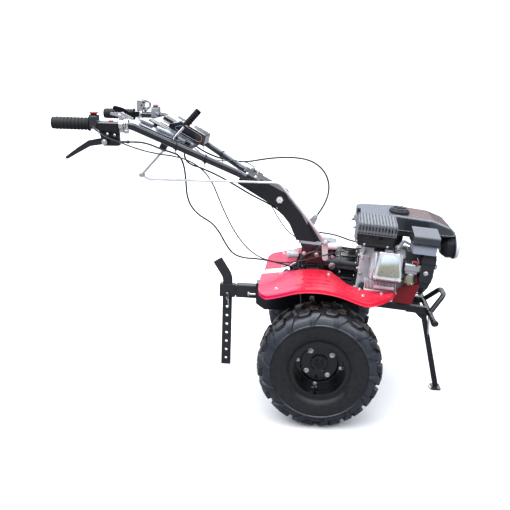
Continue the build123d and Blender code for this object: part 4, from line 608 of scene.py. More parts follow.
def close_up(piece, gap=0.00002):
    """Merges doubles and turns every face outwards."""
    edit(piece)
    bpy.ops.mesh.remove_doubles(threshold=gap)
    bpy.ops.mesh.normals_make_consistent(inside=False)
    bpy.ops.object.mode_set(mode="OBJECT")


def smooth(piece, angle=35):
    """Smooth shading up to an angle."""
    only(piece)
    bpy.ops.object.shade_smooth_by_angle(angle=math.radians(angle))


def modified(piece, kind, **settings):
    """A modifier, applied."""
    only(piece)
    modifier = piece.modifiers.new(kind.lower(), kind)
    for key, value in settings.items():
        setattr(modifier, key, value)
    bpy.ops.object.modifier_apply(modifier=modifier.name)


def bevelled(piece, width, segments=2, angle=40):
    """A bevel on the sharp edges, applied."""
    modified(piece, "BEVEL", width=width, segments=segments, angle_limit=math.radians(angle))


def turned(name, profile, steps=32):
    """A lathe-turned solid about Z: profile points are (radius, height), all round it."""
    deselect()
    bpy.ops.mesh.primitive_circle_add(vertices=len(profile), radius=1)
    piece = bpy.context.object
    piece.name = name
    for vertex, (radius, along) in zip(piece.data.vertices, profile):
        vertex.co = (radius, 0, along)
    edit(piece)
    bpy.ops.mesh.spin(steps=steps, angle=math.tau, center=(0, 0, 0), axis=(0, 0, 1))
    bpy.ops.object.mode_set(mode="OBJECT")
    close_up(piece)
    return piece


def hex_bolt(name, radius, height):
    """A hexagon bolt head on its washer, standing on the origin along Z."""
    deselect()
    raised = height / 2 + 0.0014     # the head starts inside its washer
    bpy.ops.mesh.primitive_cylinder_add(vertices=6, radius=radius, depth=height, location=(0, 0, raised))
    head = bpy.context.object
    head.name = name
    bake_place(head)
    unselect_mesh(head)
    for polygon in head.data.polygons:
        polygon.select = polygon.normal.z > 0.9
    bpy.ops.object.mode_set(mode="EDIT")
    bpy.ops.mesh.inset(thickness=radius * 0.16, depth=radius * 0.12)
    bpy.ops.mesh.inset(thickness=radius * 0.3, depth=-radius * 0.07)
    bpy.ops.object.mode_set(mode="OBJECT")
    bevelled(head, radius * 0.06, 1, 50)
    rim, foot = radius * 1.45, radius * 1.02
    ring = turned(name + "_washer", ((0, 0), (rim, 0), (rim, 0.0012), (foot, 0.0018), (0, 0.0018)), 20)
    return joined(name, (head, ring))


def joined(name, pieces):
    """Several pieces as one."""
    deselect()
    for piece in pieces:
        piece.select_set(True)
    bpy.context.view_layer.objects.active = pieces[0]
    if len(pieces) > 1:
        bpy.ops.object.join()
    piece = bpy.context.object
    piece.name = name
    return piece


def copies(name, pattern, places):
    """Copies of a pattern piece, each with its own mesh, joined; the pattern goes."""
    made = []
    for place in places:
        mesh = pattern.data.copy()
        mesh.transform(place)
        item = bpy.data.objects.new(name, mesh)
        bpy.context.scene.collection.objects.link(item)
        made.append(item)
    bpy.data.objects.remove(pattern)
    return joined(name, made)


def rod_along(name, points, radius, closed=False, straight=False, resolution=6):
    """A round rod or wire along points, as a mesh: one smooth curve, or straight runs."""
    curve = bpy.data.curves.new(name, "CURVE")
    curve.dimensions = "3D"
    spline = curve.splines.new("POLY" if straight else "NURBS")
    spline.points.add(len(points) - 1)
    for point, place in zip(spline.points, points):
        point.co = (*place, 1)
    spline.use_cyclic_u = closed
    if not straight:
        spline.order_u = 3
        spline.use_endpoint_u = not closed
        spline.resolution_u = resolution
    curve.bevel_depth = radius
    curve.bevel_resolution = 3
    curve.use_fill_caps = True
    piece = bpy.data.objects.new(name, curve)
    bpy.context.scene.collection.objects.link(piece)
    only(piece)
    bpy.ops.object.convert(target="MESH")
    piece = bpy.context.object
    close_up(piece, 0.00001)
    smooth(piece, 50)
    return piece


def onto(piece, point, direction):
    """Where a ray from a point first meets a piece, and the surface's direction there."""
    hit, place, normal, _ = piece.ray_cast(point, direction)
    if not hit:
        raise RuntimeError(f"a ray from {tuple(point)} misses {piece.name}")
    return place, normal


# ---- stage
class TRACTOR_OT_stage(TractorStep, bpy.types.Operator):
    """Pale floor, soft studio light and the camera at the machine's right side"""

    bl_idname = "tractor.stage"
    bl_label = "Stage"

    def camera(self, scene, lens):
        """The camera off the machine's right side, looking a little down."""
        eye = bpy.data.cameras.new("side_view")
        eye.lens = lens
        eye.sensor_width = 36.0
        camera = bpy.data.objects.new("side_view", eye)
        camera.location = (0.1835, -2.6404, 1.3148)
        camera.rotation_euler = (math.pi / 2 - 0.2707, 0, 0.0925)
        scene.collection.objects.link(camera)
        scene.camera = camera

    def floor(self, colour):
        """A floor that shows pale but throws little light up at the machine."""
        deselect()
        bpy.ops.mesh.primitive_plane_add(size=60)
        floor = bpy.context.object
        floor.name = "studio_floor"
        surface = Surface("studio_floor")
        pale = surface.blend(surface.noise(0.7, 2), colour, (0.74, 0.73, 0.72))
        seen = surface.node("ShaderNodeLightPath").outputs["Is Camera Ray"]
        surface.set(Base_Color=surface.blend(seen, (0.24, 0.24, 0.25), pale), Specular_IOR_Level=0.2)
        surface.set(Roughness=surface.ramp(surface.noise(3, 2), 0.3, 0.7, 0.8, 0.9))
        dress(floor, surface.material)

    def sky(self, scene, settings):
        """Even light that is brightest overhead, with a plain backdrop for the camera."""
        world = bpy.data.worlds.new("studio")
        world.use_nodes = True
        nodes, link = world.node_tree.nodes, world.node_tree.links.new
        direction = nodes.new("ShaderNodeSeparateXYZ")
        link(nodes.new("ShaderNodeTexCoord").outputs["Generated"], direction.inputs[0])
        ramp = nodes.new("ShaderNodeValToRGB")
        ramp.color_ramp.elements[0].color = (0.1, 0.105, 0.115, 1)
        ramp.color_ramp.elements[1].color = (2.35, 2.45, 2.6, 1)
        for position, shade in ((0.08, 0.22), (0.24, 0.5), (0.48, 1.7)):
            ramp.color_ramp.elements.new(position).color = (shade * 0.94, shade, shade * 1.1, 1)
        link(direction.outputs["Z"], ramp.inputs["Fac"])
        seen = nodes.new("ShaderNodeMix")
        seen.data_type = "RGBA"
        link(nodes.new("ShaderNodeLightPath").outputs["Is Camera Ray"], seen.inputs[0])
        link(ramp.outputs["Color"], seen.inputs[6])
        seen.inputs[7].default_value = (*settings.backdrop, 1)
        link(seen.outputs[2], nodes["Background"].inputs["Color"])
        nodes["Background"].inputs["Strength"].default_value = settings.sky
        scene.world = world

    def lights(self, scene, power):
        """Soft lamps: place, size, share of the key's power and strength of their highlights."""
        for name, place, size, share, specular in (
            ("key", (-1.6, -1.9, 3.4), 1.5, 1.0, 1.0),
            ("front_fill", (3.0, -1.6, 2.4), 1.2, 0.4, 1.0),
            ("top", (0.3, -1.1, 3.6), 1.8, 0.9, 1.0),
            ("back_rim", (-0.8, 3.2, 2.4), 1.6, 0.45, 0.12),
        ):
            light = bpy.data.lights.new(name, "AREA")
            light.size = size
            light.energy = power * share
            light.specular_factor = specular
            lamp = bpy.data.objects.new(name, light)
            lamp.location = place
            lamp.rotation_euler = (Vector(place) - Vector((0, 0, 0.5))).to_track_quat("Z", "Y").to_euler()
            scene.collection.objects.link(lamp)

    def execute(self, context):
        scene, settings = context.scene, context.scene.tractor_stage
        self.camera(scene, settings.lens)
        self.floor(tuple(settings.floor_colour))
        self.sky(scene, settings)
        self.lights(scene, settings.key_power)
        scene.view_settings.view_transform = "Standard"
        scene.view_settings.look = "Medium High Contrast"
        return {"FINISHED"}


# ---- cables
CABLES = {
    # name: (diameter, length, route), all millimetres, ahead of the axle
    "clutch_cable": (6.5, 993, (
        (-712, -298, 1078), (-691, -298, 1078), (-666, -296, 1077), (-636, -286, 1068), (-608, -266, 1052),
        (-577, -238, 1037), (-552, -208, 1024), (-541, -180, 998), (-539, -146, 953), (-541, -122, 899),
        (-540, -117, 850), (-525, -115, 805), (-490, -114, 768), (-446, -110, 743), (-415, -106, 705),
        (-391, -102, 655), (-362, -98, 610), (-319, -92, 591), (-266, -86, 588), (-213, -80, 579),
        (-157, -74, 565), (-118, -67, 550), (-90, -63, 543),
    )),
    "stop_wire": (5.0, 1301, (
        (-820, -326, 1120), (-806, -332, 1110), (-788, -333, 1098), (-764, -328, 1087), (-735, -320, 1077),
        (-697, -308, 1060), (-654, -286, 1043), (-606, -255, 1029), (-562, -223, 1019), (-520, -190, 1002),
        (-483, -158, 973), (-456, -132, 940), (-434, -112, 896), (-414, -108, 842), (-391, -108, 785),
        (-362, -106, 723), (-326, -104, 665), (-284, -101, 619), (-236, -97, 590), (-180, -91, 575),
        (-122, -85, 575), (-62, -81, 586), (-4, -78, 602), (50, -76, 617), (98, -72, 628), (136, -66, 634),
        (160, -62, 635),
    )),
    "throttle_cable": (6.5, 921, (
        (-529, -150, 1045), (-537, -150, 1030), (-539, -150, 1010), (-530, -149, 990), (-510, -147, 976),
        (-484, -143, 968), (-457, -138, 956), (-424, -124, 939), (-384, -106, 914), (-342, -80, 884),
        (-299, -52, 851), (-252, -24, 821), (-208, 3, 793), (-175, 24, 763), (-149, 46, 732), (-127, 61, 704),
        (-98, 71, 685), (-62, 74, 675), (-22, 71, 668), (14, 62, 666), (46, 42, 666), (72, 17, 665),
        (95, -5, 662), (115, -20, 658), (134, -27, 655), (150, -30, 653),
    )),
    "left_cable": (7.0, 1035, (
        (-733, 270, 1143), (-719, 262, 1137), (-704, 256, 1125), (-688, 250, 1108), (-666, 243, 1088),
        (-635, 231, 1066), (-600, 215, 1041), (-563, 197, 1017), (-526, 181, 996), (-485, 165, 979),
        (-434, 152, 964), (-378, 140, 955), (-320, 128, 956), (-262, 116, 968), (-208, 102, 977),
        (-158, 91, 981), (-112, 83, 981), (-72, 76, 976), (-36, 67, 963), (-7, 57, 942), (15, 46, 912),
        (25, 34, 877), (23, 20, 842), (12, 4, 812), (-3, -12, 785), (-20, -23, 763),
    )),
    "lamp_wire": (4.0, 929, (
        (-740, 272, 1129), (-726, 265, 1122), (-711, 258, 1110), (-694, 249, 1093), (-670, 237, 1074),
        (-640, 223, 1053), (-606, 206, 1034), (-572, 190, 1013), (-536, 171, 988), (-496, 148, 970),
        (-458, 122, 963), (-422, 98, 963), (-390, 81, 966), (-361, 68, 967), (-337, 58, 966),
        (-316, 51, 962), (-299, 45, 955), (-286, 40, 945), (-281, 36, 931), (-285, 33, 917),
        (-290, 31, 902), (-288, 30, 886), (-275, 29, 871), (-258, 28, 853), (-240, 28, 829),
        (-217, 29, 796), (-196, 30, 757), (-175, 31, 721), (-149, 29, 686), (-124, 27, 663), (-98, 25, 649),
    )),
}


class TRACTOR_OT_cables(TractorStep, bpy.types.Operator):
    """Control cables and wires from the handlebars to the engine and gearbox"""

    bl_idname = "tractor.cables"
    bl_label = "Cables"

    def execute(self, context):
        deselect()
        black = moulded("sheath_black", (0.014, 0.014, 0.015), 0.32, 0.00005, 0.25)
        grey = moulded("wire_sheath", (0.03, 0.03, 0.032), 0.45, 0.00005, 0.25)
        for name, (diameter, length, route) in CABLES.items():
            curve = bpy.data.curves.new(name + "_run", "CURVE")
            curve.dimensions = "3D"
            curve.bevel_depth = diameter * MM / 2
            curve.bevel_resolution = 4
            curve.use_fill_caps = True
            spline = curve.splines.new("NURBS")
            spline.points.add(len(route) - 1)
            for point, place in zip(spline.points, route):
                point.co = (*from_axle(*place), 1)
            spline.order_u = 3
            spline.use_endpoint_u = True
            spline.resolution_u = 8
            piece = bpy.data.objects.new(name + "_run", curve)
            context.scene.collection.objects.link(piece)
            dress(piece, (grey if diameter < 6 else black).material)
            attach(piece, "frame")
            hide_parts(name)
        return {"FINISHED"}


# ---- finishes of the frame
class TRACTOR_OT_finishes(TractorStep, bpy.types.Operator):
    """Paint, castings, plate and mouldings on the frame's own nodes"""

    bl_idname = "tractor.finishes"
    bl_label = "Finishes"

    def execute(self, context):
        paint = context.scene.tractor_paint
        small_finishes(paint)
        for surface, names in node_finishes(paint).items():
            for name in names:
                dress(NODES[name], surface.material)
        return {"FINISHED"}


# ---- tyres
# half of a tyre's section from the crown to the bead: (radius, distance from the middle plane)
CARCASS = (
    (226.5, 0), (226.2, 22), (225, 42), (222, 57), (216.5, 69), (208.5, 77), (198, 82),
    (191, 84.6), (188.4, 88), (184.6, 88.6), (182, 85.2), (174, 84.6), (163, 84.4), (150, 82.9),
    (138, 79.4), (128.5, 74.6), (121, 69.4), (117.5, 68.6), (116.4, 71.4), (114.5, 71.8), (108, 68.4),
    (103, 66.5),
)
# the same for its inside, from the bead to the crown
INNER_WALL = ((100.6, 60), (108, 56), (140, 74), (180, 77), (205, 70), (217, 40))
ROLL = 0.11             # how far round the wheels stand, in radians
LUG_RADIUS = 229        # where offsets round the tyre are measured
LUG_END = 168           # how far from the crown a lug may reach


def carcass_place(along):
    """Point and outward direction of the section, a distance along it from the crown."""
    for (r0, y0), (r1, y1) in zip(CARCASS, CARCASS[1:]):
        step = math.hypot(r1 - r0, y1 - y0)
        if along <= step:
            share = along / step
            return r0 + (r1 - r0) * share, y0 + (y1 - y0) * share, (y1 - y0) / step, (r0 - r1) / step
        along -= step
    raise RuntimeError("a lug runs past the bead")


def lug(name, stations, cuts=7):
    """One lug. Stations: (distance from the crown, offset round the tyre, half width, height)."""
    deselect()
    bpy.ops.mesh.primitive_cube_add(size=2)
    piece = bpy.context.object
    piece.name = name
    edit(piece)
    bpy.ops.mesh.subdivide(number_cuts=cuts)
    bpy.ops.object.mode_set(mode="OBJECT")
    for vertex in piece.data.vertices:
        across, along, up = vertex.co
        reach = (along + 1) / 2 * (len(stations) - 1)
        index = min(int(reach), len(stations) - 2)
        share = reach - index
        low, high = stations[index], stations[index + 1]
        distance = low[0] + (high[0] - low[0]) * share
        offset, half, height = (a + (b - a) * eased(share) for a, b in zip(low[1:], high[1:]))
        # the ends are narrower, and the foot is wider and let 2.5 mm into the carcass
        corner = max(0, abs(along) - 0.7) / 0.3
        half *= 1 - 0.22 * corner * corner
        lift = (up + 1) / 2
        half *= 1 + 0.24 * (1 - lift)
        rise = lift * height - (1 - lift) * 2.5
        if abs(along) > 0.99:
            distance += (1 - lift) * 2.2 * (1 if along > 0 else -1)
        distance = min(max(distance, 0), LUG_END)
        radius, side, out_radius, out_side = carcass_place(distance)
        radius += out_radius * rise
        side += out_side * rise
        angle = (offset + across * half) / LUG_RADIUS
        vertex.co = (radius * math.sin(angle) * MM, side * MM, radius * math.cos(angle) * MM)
    bevelled(piece, 0.0016, 2, 38)
    close_up(piece)
    return piece


def lug_set(height):
    """The first pitch of the tread on one shoulder: lug, fork, edge block and centre block."""
    shoulder = lug("shoulder_lug", (
        (50, -13, 9, height - 3), (58, -11, 14, height - 1), (66, -8, 16, height - 2),
        (76, -3.5, 14, 9), (86, 2, 9, 7.6), (96, 6.5, 6.6, 6), (104, 9.5, 5, 4.6),
        (109, 11, 3.6, 3),
    ), 9)
    fork = lug("shoulder_fork", (
        (62, 11.5, 2.4, 4), (74, 13.5, 3.6, 7), (86, 14.6, 3.2, 6.4), (98, 15.2, 2.4, 4.6),
        (107, 15.4, 1.8, 2),
    ), 6)
    block = lug("edge_block", (
        (34, 30, 15, height), (46, 34, 21, height), (55, 37, 22, height - 0.2),
        (65, 39, 17, height - 2),
    ), 6)
    centre = lug("centre_block", (
        (2, -8, 12, height), (15, -4, 15, height), (29, 2, 15, height),
        (43, -6, 12, height),
    ), 6)
    return joined("lug_pitch", (shoulder, fork, block, centre))


class TRACTOR_OT_tyres(TractorStep, bpy.types.Operator):
    """Lugged field tyres on both wheels"""

    bl_idname = "tractor.tyres"
    bl_label = "Tyres"

    def execute(self, context):
        settings = context.scene.tractor_tyre
        rubber = tyre_rubber("tyre_compound", tuple(context.scene.tractor_paint.rubber))
        count = settings.lugs
        pitch = math.tau / count
        for label, side in SIDES:
            section = [(radius * MM, along * MM) for radius, along in CARCASS]
            section = [(r, -y) for r, y in reversed(section[1:])] + section
            inner = [(radius * MM, along * MM) for radius, along in INNER_WALL]
            section += inner + [(r, -y) for r, y in reversed(inner)]
            carcass = turned("carcass", section, 84)
            carcass.data.transform(Matrix.Rotation(-math.pi / 2, 4, "X"))
            pattern = lug_set(settings.lug_height / MM)
            far = pattern.data.copy()
            half_turn = Matrix.Rotation(math.pi, 4, "Z") @ Matrix.Rotation(pitch / 2, 4, "Y")
            far.transform(half_turn)
            other = bpy.data.objects.new("lug_pitch_far", far)
            context.scene.collection.objects.link(other)
            pattern = joined("lug_pitch", (pattern, other))
            lugs = copies("lugs", pattern, [Matrix.Rotation(i * pitch, 4, "Y") for i in range(count)])
            tyre = joined(f"field_tyre_{label}", (carcass, lugs))
            if side > 0:
                tyre.data.transform(Matrix.Rotation(math.pi, 4, "Z"))
            tyre.data.transform(Matrix.Rotation(ROLL, 4, "Y"))
            tyre.data.transform(Matrix.Translation(box_middle(f"tyre_{label}")))
            smooth(tyre, 32)
            dress(tyre, rubber.material)
            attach(tyre, "wheels")
            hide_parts(f"tyre_{label}")
        return {"FINISHED"}


# ---- shared shapes of the fittings
def frame_at(origin, along, out):
    """A placement from its origin, its local X and its local Z."""
    z = Vector(out).normalized()
    y = z.cross(Vector(along)).normalized()
    made = Matrix((y.cross(z), y, z)).transposed().to_4x4()
    made.translation = origin
    return made


def on_side(x, y, z):
    """A placement seen from the right side: local X forward, Y up, Z out to the right."""
    return frame_at(from_axle(x, y, z), FORWARD, RIGHT)


def on_body_side(u, y, w):
    """The same, in the leaning body."""
    return frame_at(in_body(u, y, w), BODY_FORWARD, RIGHT)


def on_body_top(u, y, w):
    """A placement on the leaning body: local X forward, Z square up."""
    return frame_at(in_body(u, y, w), BODY_FORWARD, BODY_UP)


CRANK = 320     # height of the crankshaft over the axle in the leaning body, in millimetres
HEAD_OUT = Vector((0, -math.cos(math.radians(18)), 0)) + BODY_UP * math.sin(math.radians(18))
HEAD_UP = HEAD_OUT.cross(BODY_FORWARD)


def facing(u, y, w, out):
    """A placement in the leaning body whose local X points up and local Z in a direction."""
    return frame_at(in_body(u, y, w), UP, out)


def on_head(x, y, out):
    """A placement on the cylinder: along the body, up across it, out along its axis, in millimetres."""
    origin = in_body(215, 0, CRANK) + (BODY_FORWARD * x + HEAD_UP * y + HEAD_OUT * out) * MM
    return frame_at(origin, BODY_FORWARD, HEAD_OUT)


HANDLE_RISE = math.atan2(1138 - 934.5, 707 - 336)     # the tubes' climb from their clamp to their bend
HANDLE_BACK = Vector((-math.cos(HANDLE_RISE), 0, math.sin(HANDLE_RISE)))
HANDLE_OUT = Vector((math.sin(HANDLE_RISE), 0, math.cos(HANDLE_RISE)))


def on_handles(along, right, up):
    """A placement on the plane of the handle tubes: so far back along them, to the right, square up."""
    origin = from_axle(-336, 0, 934.5) + (HANDLE_BACK * along + RIGHT * right + HANDLE_OUT * up) * MM
    return frame_at(origin, HANDLE_BACK, HANDLE_OUT)


def round_corners(corners, radius, steps=4):
    """A closed outline with its corners rounded."""
    made = []
    count = len(corners)
    for index, corner in enumerate(corners):
        here = Vector(corner)
        before = Vector(corners[index - 1]) - here
        after = Vector(corners[(index + 1) % count]) - here
        reach = min(radius, before.length * 0.48, after.length * 0.48)
        start, end = here + before.normalized() * reach, here + after.normalized() * reach
        for step in range(steps + 1):
            share = step / steps
            point = start * (1 - share) ** 2 + here * 2 * share * (1 - share) + end * share ** 2
            made.append((point.x, point.y))
    return made


def block_outline(wide, tall, radius, steps=4):
    """A rectangle with rounded corners about its middle."""
    x, y = wide / 2, tall / 2
    return round_corners(((-x, -y), (x, -y), (x, y), (-x, y)), radius, steps)


def slab(name, outline, thickness, place, edge=0.8, crown=0.0):
    """An outline in millimetres raised by its thickness, its edges rounded, its top drawn in by the crown."""
    deselect()
    bpy.ops.mesh.primitive_circle_add(vertices=len(outline), radius=1, fill_type="NGON")
    piece = bpy.context.object
    piece.name = name
    for vertex, (x, y) in zip(piece.data.vertices, outline):
        vertex.co = (x * MM, y * MM, 0)
    edit(piece)
    bpy.ops.mesh.extrude_region_move(TRANSFORM_OT_translate={"value": (0, 0, thickness * MM)})
    if crown:
        bpy.ops.mesh.inset(thickness=crown * MM, depth=crown * MM * 0.4)
    bpy.ops.object.mode_set(mode="OBJECT")
    close_up(piece)
    bevelled(piece, edge * MM, 2, 30)
    piece.data.transform(place)
    return piece


def lathe(name, profile, place, steps=32):
    """A turned piece in millimetres, set at a placement."""
    piece = turned(name, [(radius * MM, along * MM) for radius, along in profile], steps)
    piece.data.transform(place)
    return piece


def plate(name, corners, radius, thickness, place, edge=0.8, crown=0.0):
    """A slab with these corners, rounded."""
    return slab(name, round_corners(corners, radius), thickness, place, edge, crown)


def pad(name, wide, tall, radius, thickness, place, edge=0.8, crown=0.0):
    """A slab that is a rounded rectangle about its place."""
    return slab(name, block_outline(wide, tall, radius), thickness, place, edge, crown)


# finishes that many pieces share, each with its slot
PLASTIC = "mouldings", "black_plastic"
ZINC = "zinc_plate", "zinc_steel"


def fit(piece, material, slot, body="frame", angle=35):
    """Shades, colours and hangs a piece on its body."""
    smooth(piece, angle)
    dress(piece, bpy.data.materials[material])
    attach(piece, body)


def fit_all(name, pieces, material, slot, body="frame", angle=35):
    """Joins pieces into one and fits it."""
    fit(joined(name, pieces), material, slot, body, angle)


def bolt_row(name, places, radius, height, material="zinc_plate", body="frame"):
    """Hexagon bolts with washers at placements whose local Z points out."""
    fit(copies(name, hex_bolt(name, radius * MM, height * MM), places), material, "zinc_steel", body, 30)


def spun(place, turn):
    """A placement turned about its local Z, in degrees."""
    return place @ Matrix.Rotation(math.radians(turn), 4, "Z")


# ---- wheel fittings
AXLE_HEIGHT = 240      # over the floor, in millimetres


def wheel_place(side, radius, angle, outward, turn=0):
    """A placement on a wheel: from its middle, round it in degrees, out from the machine's middle."""
    angle = math.radians(angle)
    origin = from_axle(radius * math.cos(angle), side * outward, AXLE_HEIGHT + radius * math.sin(angle))
    return spun(frame_at(origin, FORWARD, LEFT * side), turn)


class TRACTOR_OT_wheel_fittings(TractorStep, bpy.types.Operator):
    """Wheel bolts, rim bolts, valves and the axle's end caps"""

    bl_idname = "tractor.wheel_fittings"
    bl_label = "Wheel fittings"

    def hub(self, label, side):
        big = [wheel_place(side, 59.5, 34 + 90 * n, 315, 17 * n) for n in range(4)]
        bolt_row(f"wheel_bolts_{label}", big, 7.2, 7.5, body="wheels")
        small = [wheel_place(side, 84, -10 + 90 * n, 325, 23 * n) for n in range(4)]
        bolt_row(f"rim_bolts_{label}", small, 5.4, 5.0, body="wheels")
        face = wheel_place(side, 0, 0, 321)
        cap = lathe(f"axle_cap_{label}", (
            (0, -1), (17.4, -1), (17.4, 2.2), (15.6, 3.8), (9.6, 3.8), (8.2, 2.4), (7.4, 0.6), (3.0, 0.4),
            (2.0, 1.2), (0, 1.2),
        ), face, 36)
        fit(cap, "axle_end", "zinc_steel", "wheels")
        ring = lathe(f"hub_ring_{label}", (
            (30.5, -1.5), (33.5, -1.5), (33.5, 1.2), (32.6, 2.0), (31.4, 2.0), (30.5, 1.2),
        ), face, 48)
        fit(ring, "rim_paint", "black_paint", "wheels")

    def beads(self, label, side):
        rings = []
        for r, outward in ((70.5, 316.2), (79.5, 325.2)):
            section = (r - 1.3, -1), (r + 1.3, -1), (r + 0.8, 0.8), (r - 0.8, 0.8)
            rings.append(lathe("dish_bead", section, wheel_place(side, 0, 0, outward), 64))
        for r, outward in ((93.8, 340.0), (93.8, 352.0), (97.2, 362.0), (113.2, 389.2)):
            section = (r - 1.8, -2.2), (r + 1.4, -2.2), (r + 1.4, 2.2), (r - 1.8, 2.2), (r - 2.4, 0.0)
            rings.append(lathe("barrel_bead", section, wheel_place(side, 0, 0, outward), 64))
        fit_all(f"rim_beads_{label}", rings, "rim_paint", "black_paint", "wheels", 50)

    def valve(self, label, side):
        stem = wheel_place(side, 92.5, -97, 340).translation
        inward = Vector((AXLE.x - stem.x, 0, AXLE.z - stem.z)).normalized()
        valve = lathe(f"valve_{label}", (
            (0, -4), (7.6, -4), (7.6, 1), (6.2, 3), (5.0, 14), (3.9, 16), (3.7, 22), (3.9, 22.5), (3.9, 30),
            (3.0, 31), (0, 31),
        ), frame_at(stem, FORWARD, LEFT * side * 0.86 + inward * 0.5), 20)
        fit(valve, "valve_rubber", "tyre_rubber", "wheels")

    def split_pin(self, label, side):
        hole = wheel_place(side, 59.5, 124, 323.5).translation
        pin = rod_along(f"split_pin_{label}", [hole + Vector(step) * MM for step in (
            (3, 0, 1), (-3, 0, 2), (-8, 0, 6), (-11, 0, 3), (-8, 0, -1), (-3, 0, 0.6), (4, 0, -1),
            (-12, 0, -5),
        )], 0.0011)
        fit(pin, *ZINC, "wheels")

    def execute(self, context):
        for label, side in SIDES:
            self.hub(label, side)
            self.beads(label, side)
            self.valve(label, side)
            self.split_pin(label, side)
        return {"FINISHED"}


# ---- stand spring
SPRING_HOOK = ((1, 4, 0), (-4, 0, 3), (0, 0, 9))     # a hook from its tip to the coil, in millimetres


class TRACTOR_OT_stand_spring(TractorStep, bpy.types.Operator):
    """Coiled spring between the bumper bar and the stand's leg, with its two hooks"""

    bl_idname = "tractor.stand_spring"
    bl_label = "Stand spring"

    def execute(self, context):
        low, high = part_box("stand_spring")
        middle = (low + high) / 2
        bottom, top = Vector((middle.x, middle.y, low.z)), Vector((middle.x, middle.y, high.z))
        lower = [bottom + Vector(step) * MM for step in SPRING_HOOK]
        upper = [top + Vector((x, y, -z)) * MM for x, y, z in reversed(SPRING_HOOK)]
        turns, steps, mean = 19, 10, 0.0052
        foot, head = low.z + 0.013, high.z - 0.013
        coil = []
        for step in range(turns * steps + 1):
            angle = math.tau * step / steps
            height = foot + (head - foot) * step / (turns * steps)
            x, y = middle.x + mean * math.cos(angle), middle.y + mean * math.sin(angle)
            coil.append(Vector((x, y, height)))
        spring = rod_along("stand_coil", lower + coil + upper, 0.00125, resolution=2)
        dress(spring, bpy.data.materials["zinc_plate"])
        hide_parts("stand_spring")
        start, end = (middle.x, middle.y, high.z - 0.004), (middle.x, middle.y, low.z + 0.004)
        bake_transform(spring)
        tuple(start)
        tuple(end)
        return {"FINISHED"}


# ---- fenders
# crown line from the rear to the front: (ahead of the axle, above the floor)
FENDER_CROWN = (
    (-243, 526), (-205, 530), (-165, 535.5), (-110, 544), (-50, 551.5), (10, 549), (70, 537), (135, 513),
    (186, 501), (295, 498),
)
FENDER_REAR, FENDER_FRONT = FENDER_CROWN[0][0], FENDER_CROWN[-1][0]
FENDER_IN, FENDER_OUT = 96.0, 352.0
ENGINE_ROOM = 200.0     # how far in the fender comes beside the engine
# the rolled edge, step by step: (outwards, down), in metres
FENDER_LIP = ((0.0022, 0.004), (0.0008, 0.0042), (0.0034, 0.0026), (0.0012, 0.0014))
FENDER_BOLTS = ((-163, 112), (-170, 298), (158, 282), (150, 210), (30, 150), (232, 232))


def crown_point(share):
    """Point of the fender's crown line, from its rear (0) to its front (1)."""
    count = len(FENDER_CROWN) - 1
    place = min(share * count, count - 1e-6)
    index = int(place)
    t = place - index
    p0, p1, p2, p3 = (Vector(FENDER_CROWN[min(max(index + n, 0), count)]) for n in (-1, 0, 1, 2))
    bend = (2 * p0 - 5 * p1 + 4 * p2 - p3) * t * t + (3 * p1 - p0 - 3 * p2 + p3) * t ** 3
    return 0.5 * (2 * p1 + (p2 - p0) * t + bend)


def crown_height(x):
    """Height of the crown line so far ahead of the axle."""
    low, high = 0.0, 1.0
    for _ in range(16):
        middle = (low + high) / 2
        if crown_point(middle).x < x:
            low = middle
        else:
            high = middle
    return crown_point(low).y


def loop_ridge(x, y, centre, half, radius, width):
    """Height share of a raised line that runs round a long rounded loop."""
    dx, dy = abs(x - centre[0]) - half[0] + radius, abs(y - centre[1]) - half[1] + radius
    away = math.hypot(max(dx, 0), max(dy, 0)) + min(max(dx, dy), 0) - radius
    return math.exp(-(away / width) ** 2)


def corner_cut(y, reach, power):
    """How far a rounded corner of the fender draws its end in, as a share."""
    past = max(0.0, y - (FENDER_OUT - reach)) / reach
    return past ** power + 1 - math.sqrt(max(1 - past * past, 0))


def fender_point(along, across, side):
    """Point of the pressed sheet, by its shares from rear to front and from inside to outside."""
    x = FENDER_REAR + (FENDER_FRONT - FENDER_REAR) * along
    inner = FENDER_IN + (ENGINE_ROOM - FENDER_IN) * held((x - 40) / 62) ** 0.8
    y = inner + (FENDER_OUT - inner) * across
    # both ends are drawn in at their outer corners
    front = FENDER_FRONT - 63 * corner_cut(y, 190, 1.7)
    rear = FENDER_REAR + 20 * corner_cut(y, 130, 4)
    x = rear + (front - rear) * along
    # the outer edge droops, the rear turns down, and the left fender sags
    height = crown_height(x) - 3.0 * (max(0.0, y - 318) / (FENDER_OUT - 318)) ** 2
    height -= 9.0 * eased(held((-80 - x) / 120)) * across
    if side > 0:
        height -= 22.0 * across + 37.0 * (1 - across) * eased(held((-70 - x) / 90))
    loop = loop_ridge(x, y, (22, 236), (96, 22), 20, 2.4)
    line = loop_ridge(x, y, (30, 300), (130, 1.5), 1.5, 2.8)
    height += 2.2 * max(loop, 0.8 * line)
    return from_axle(x, side * y, height + 1.4)


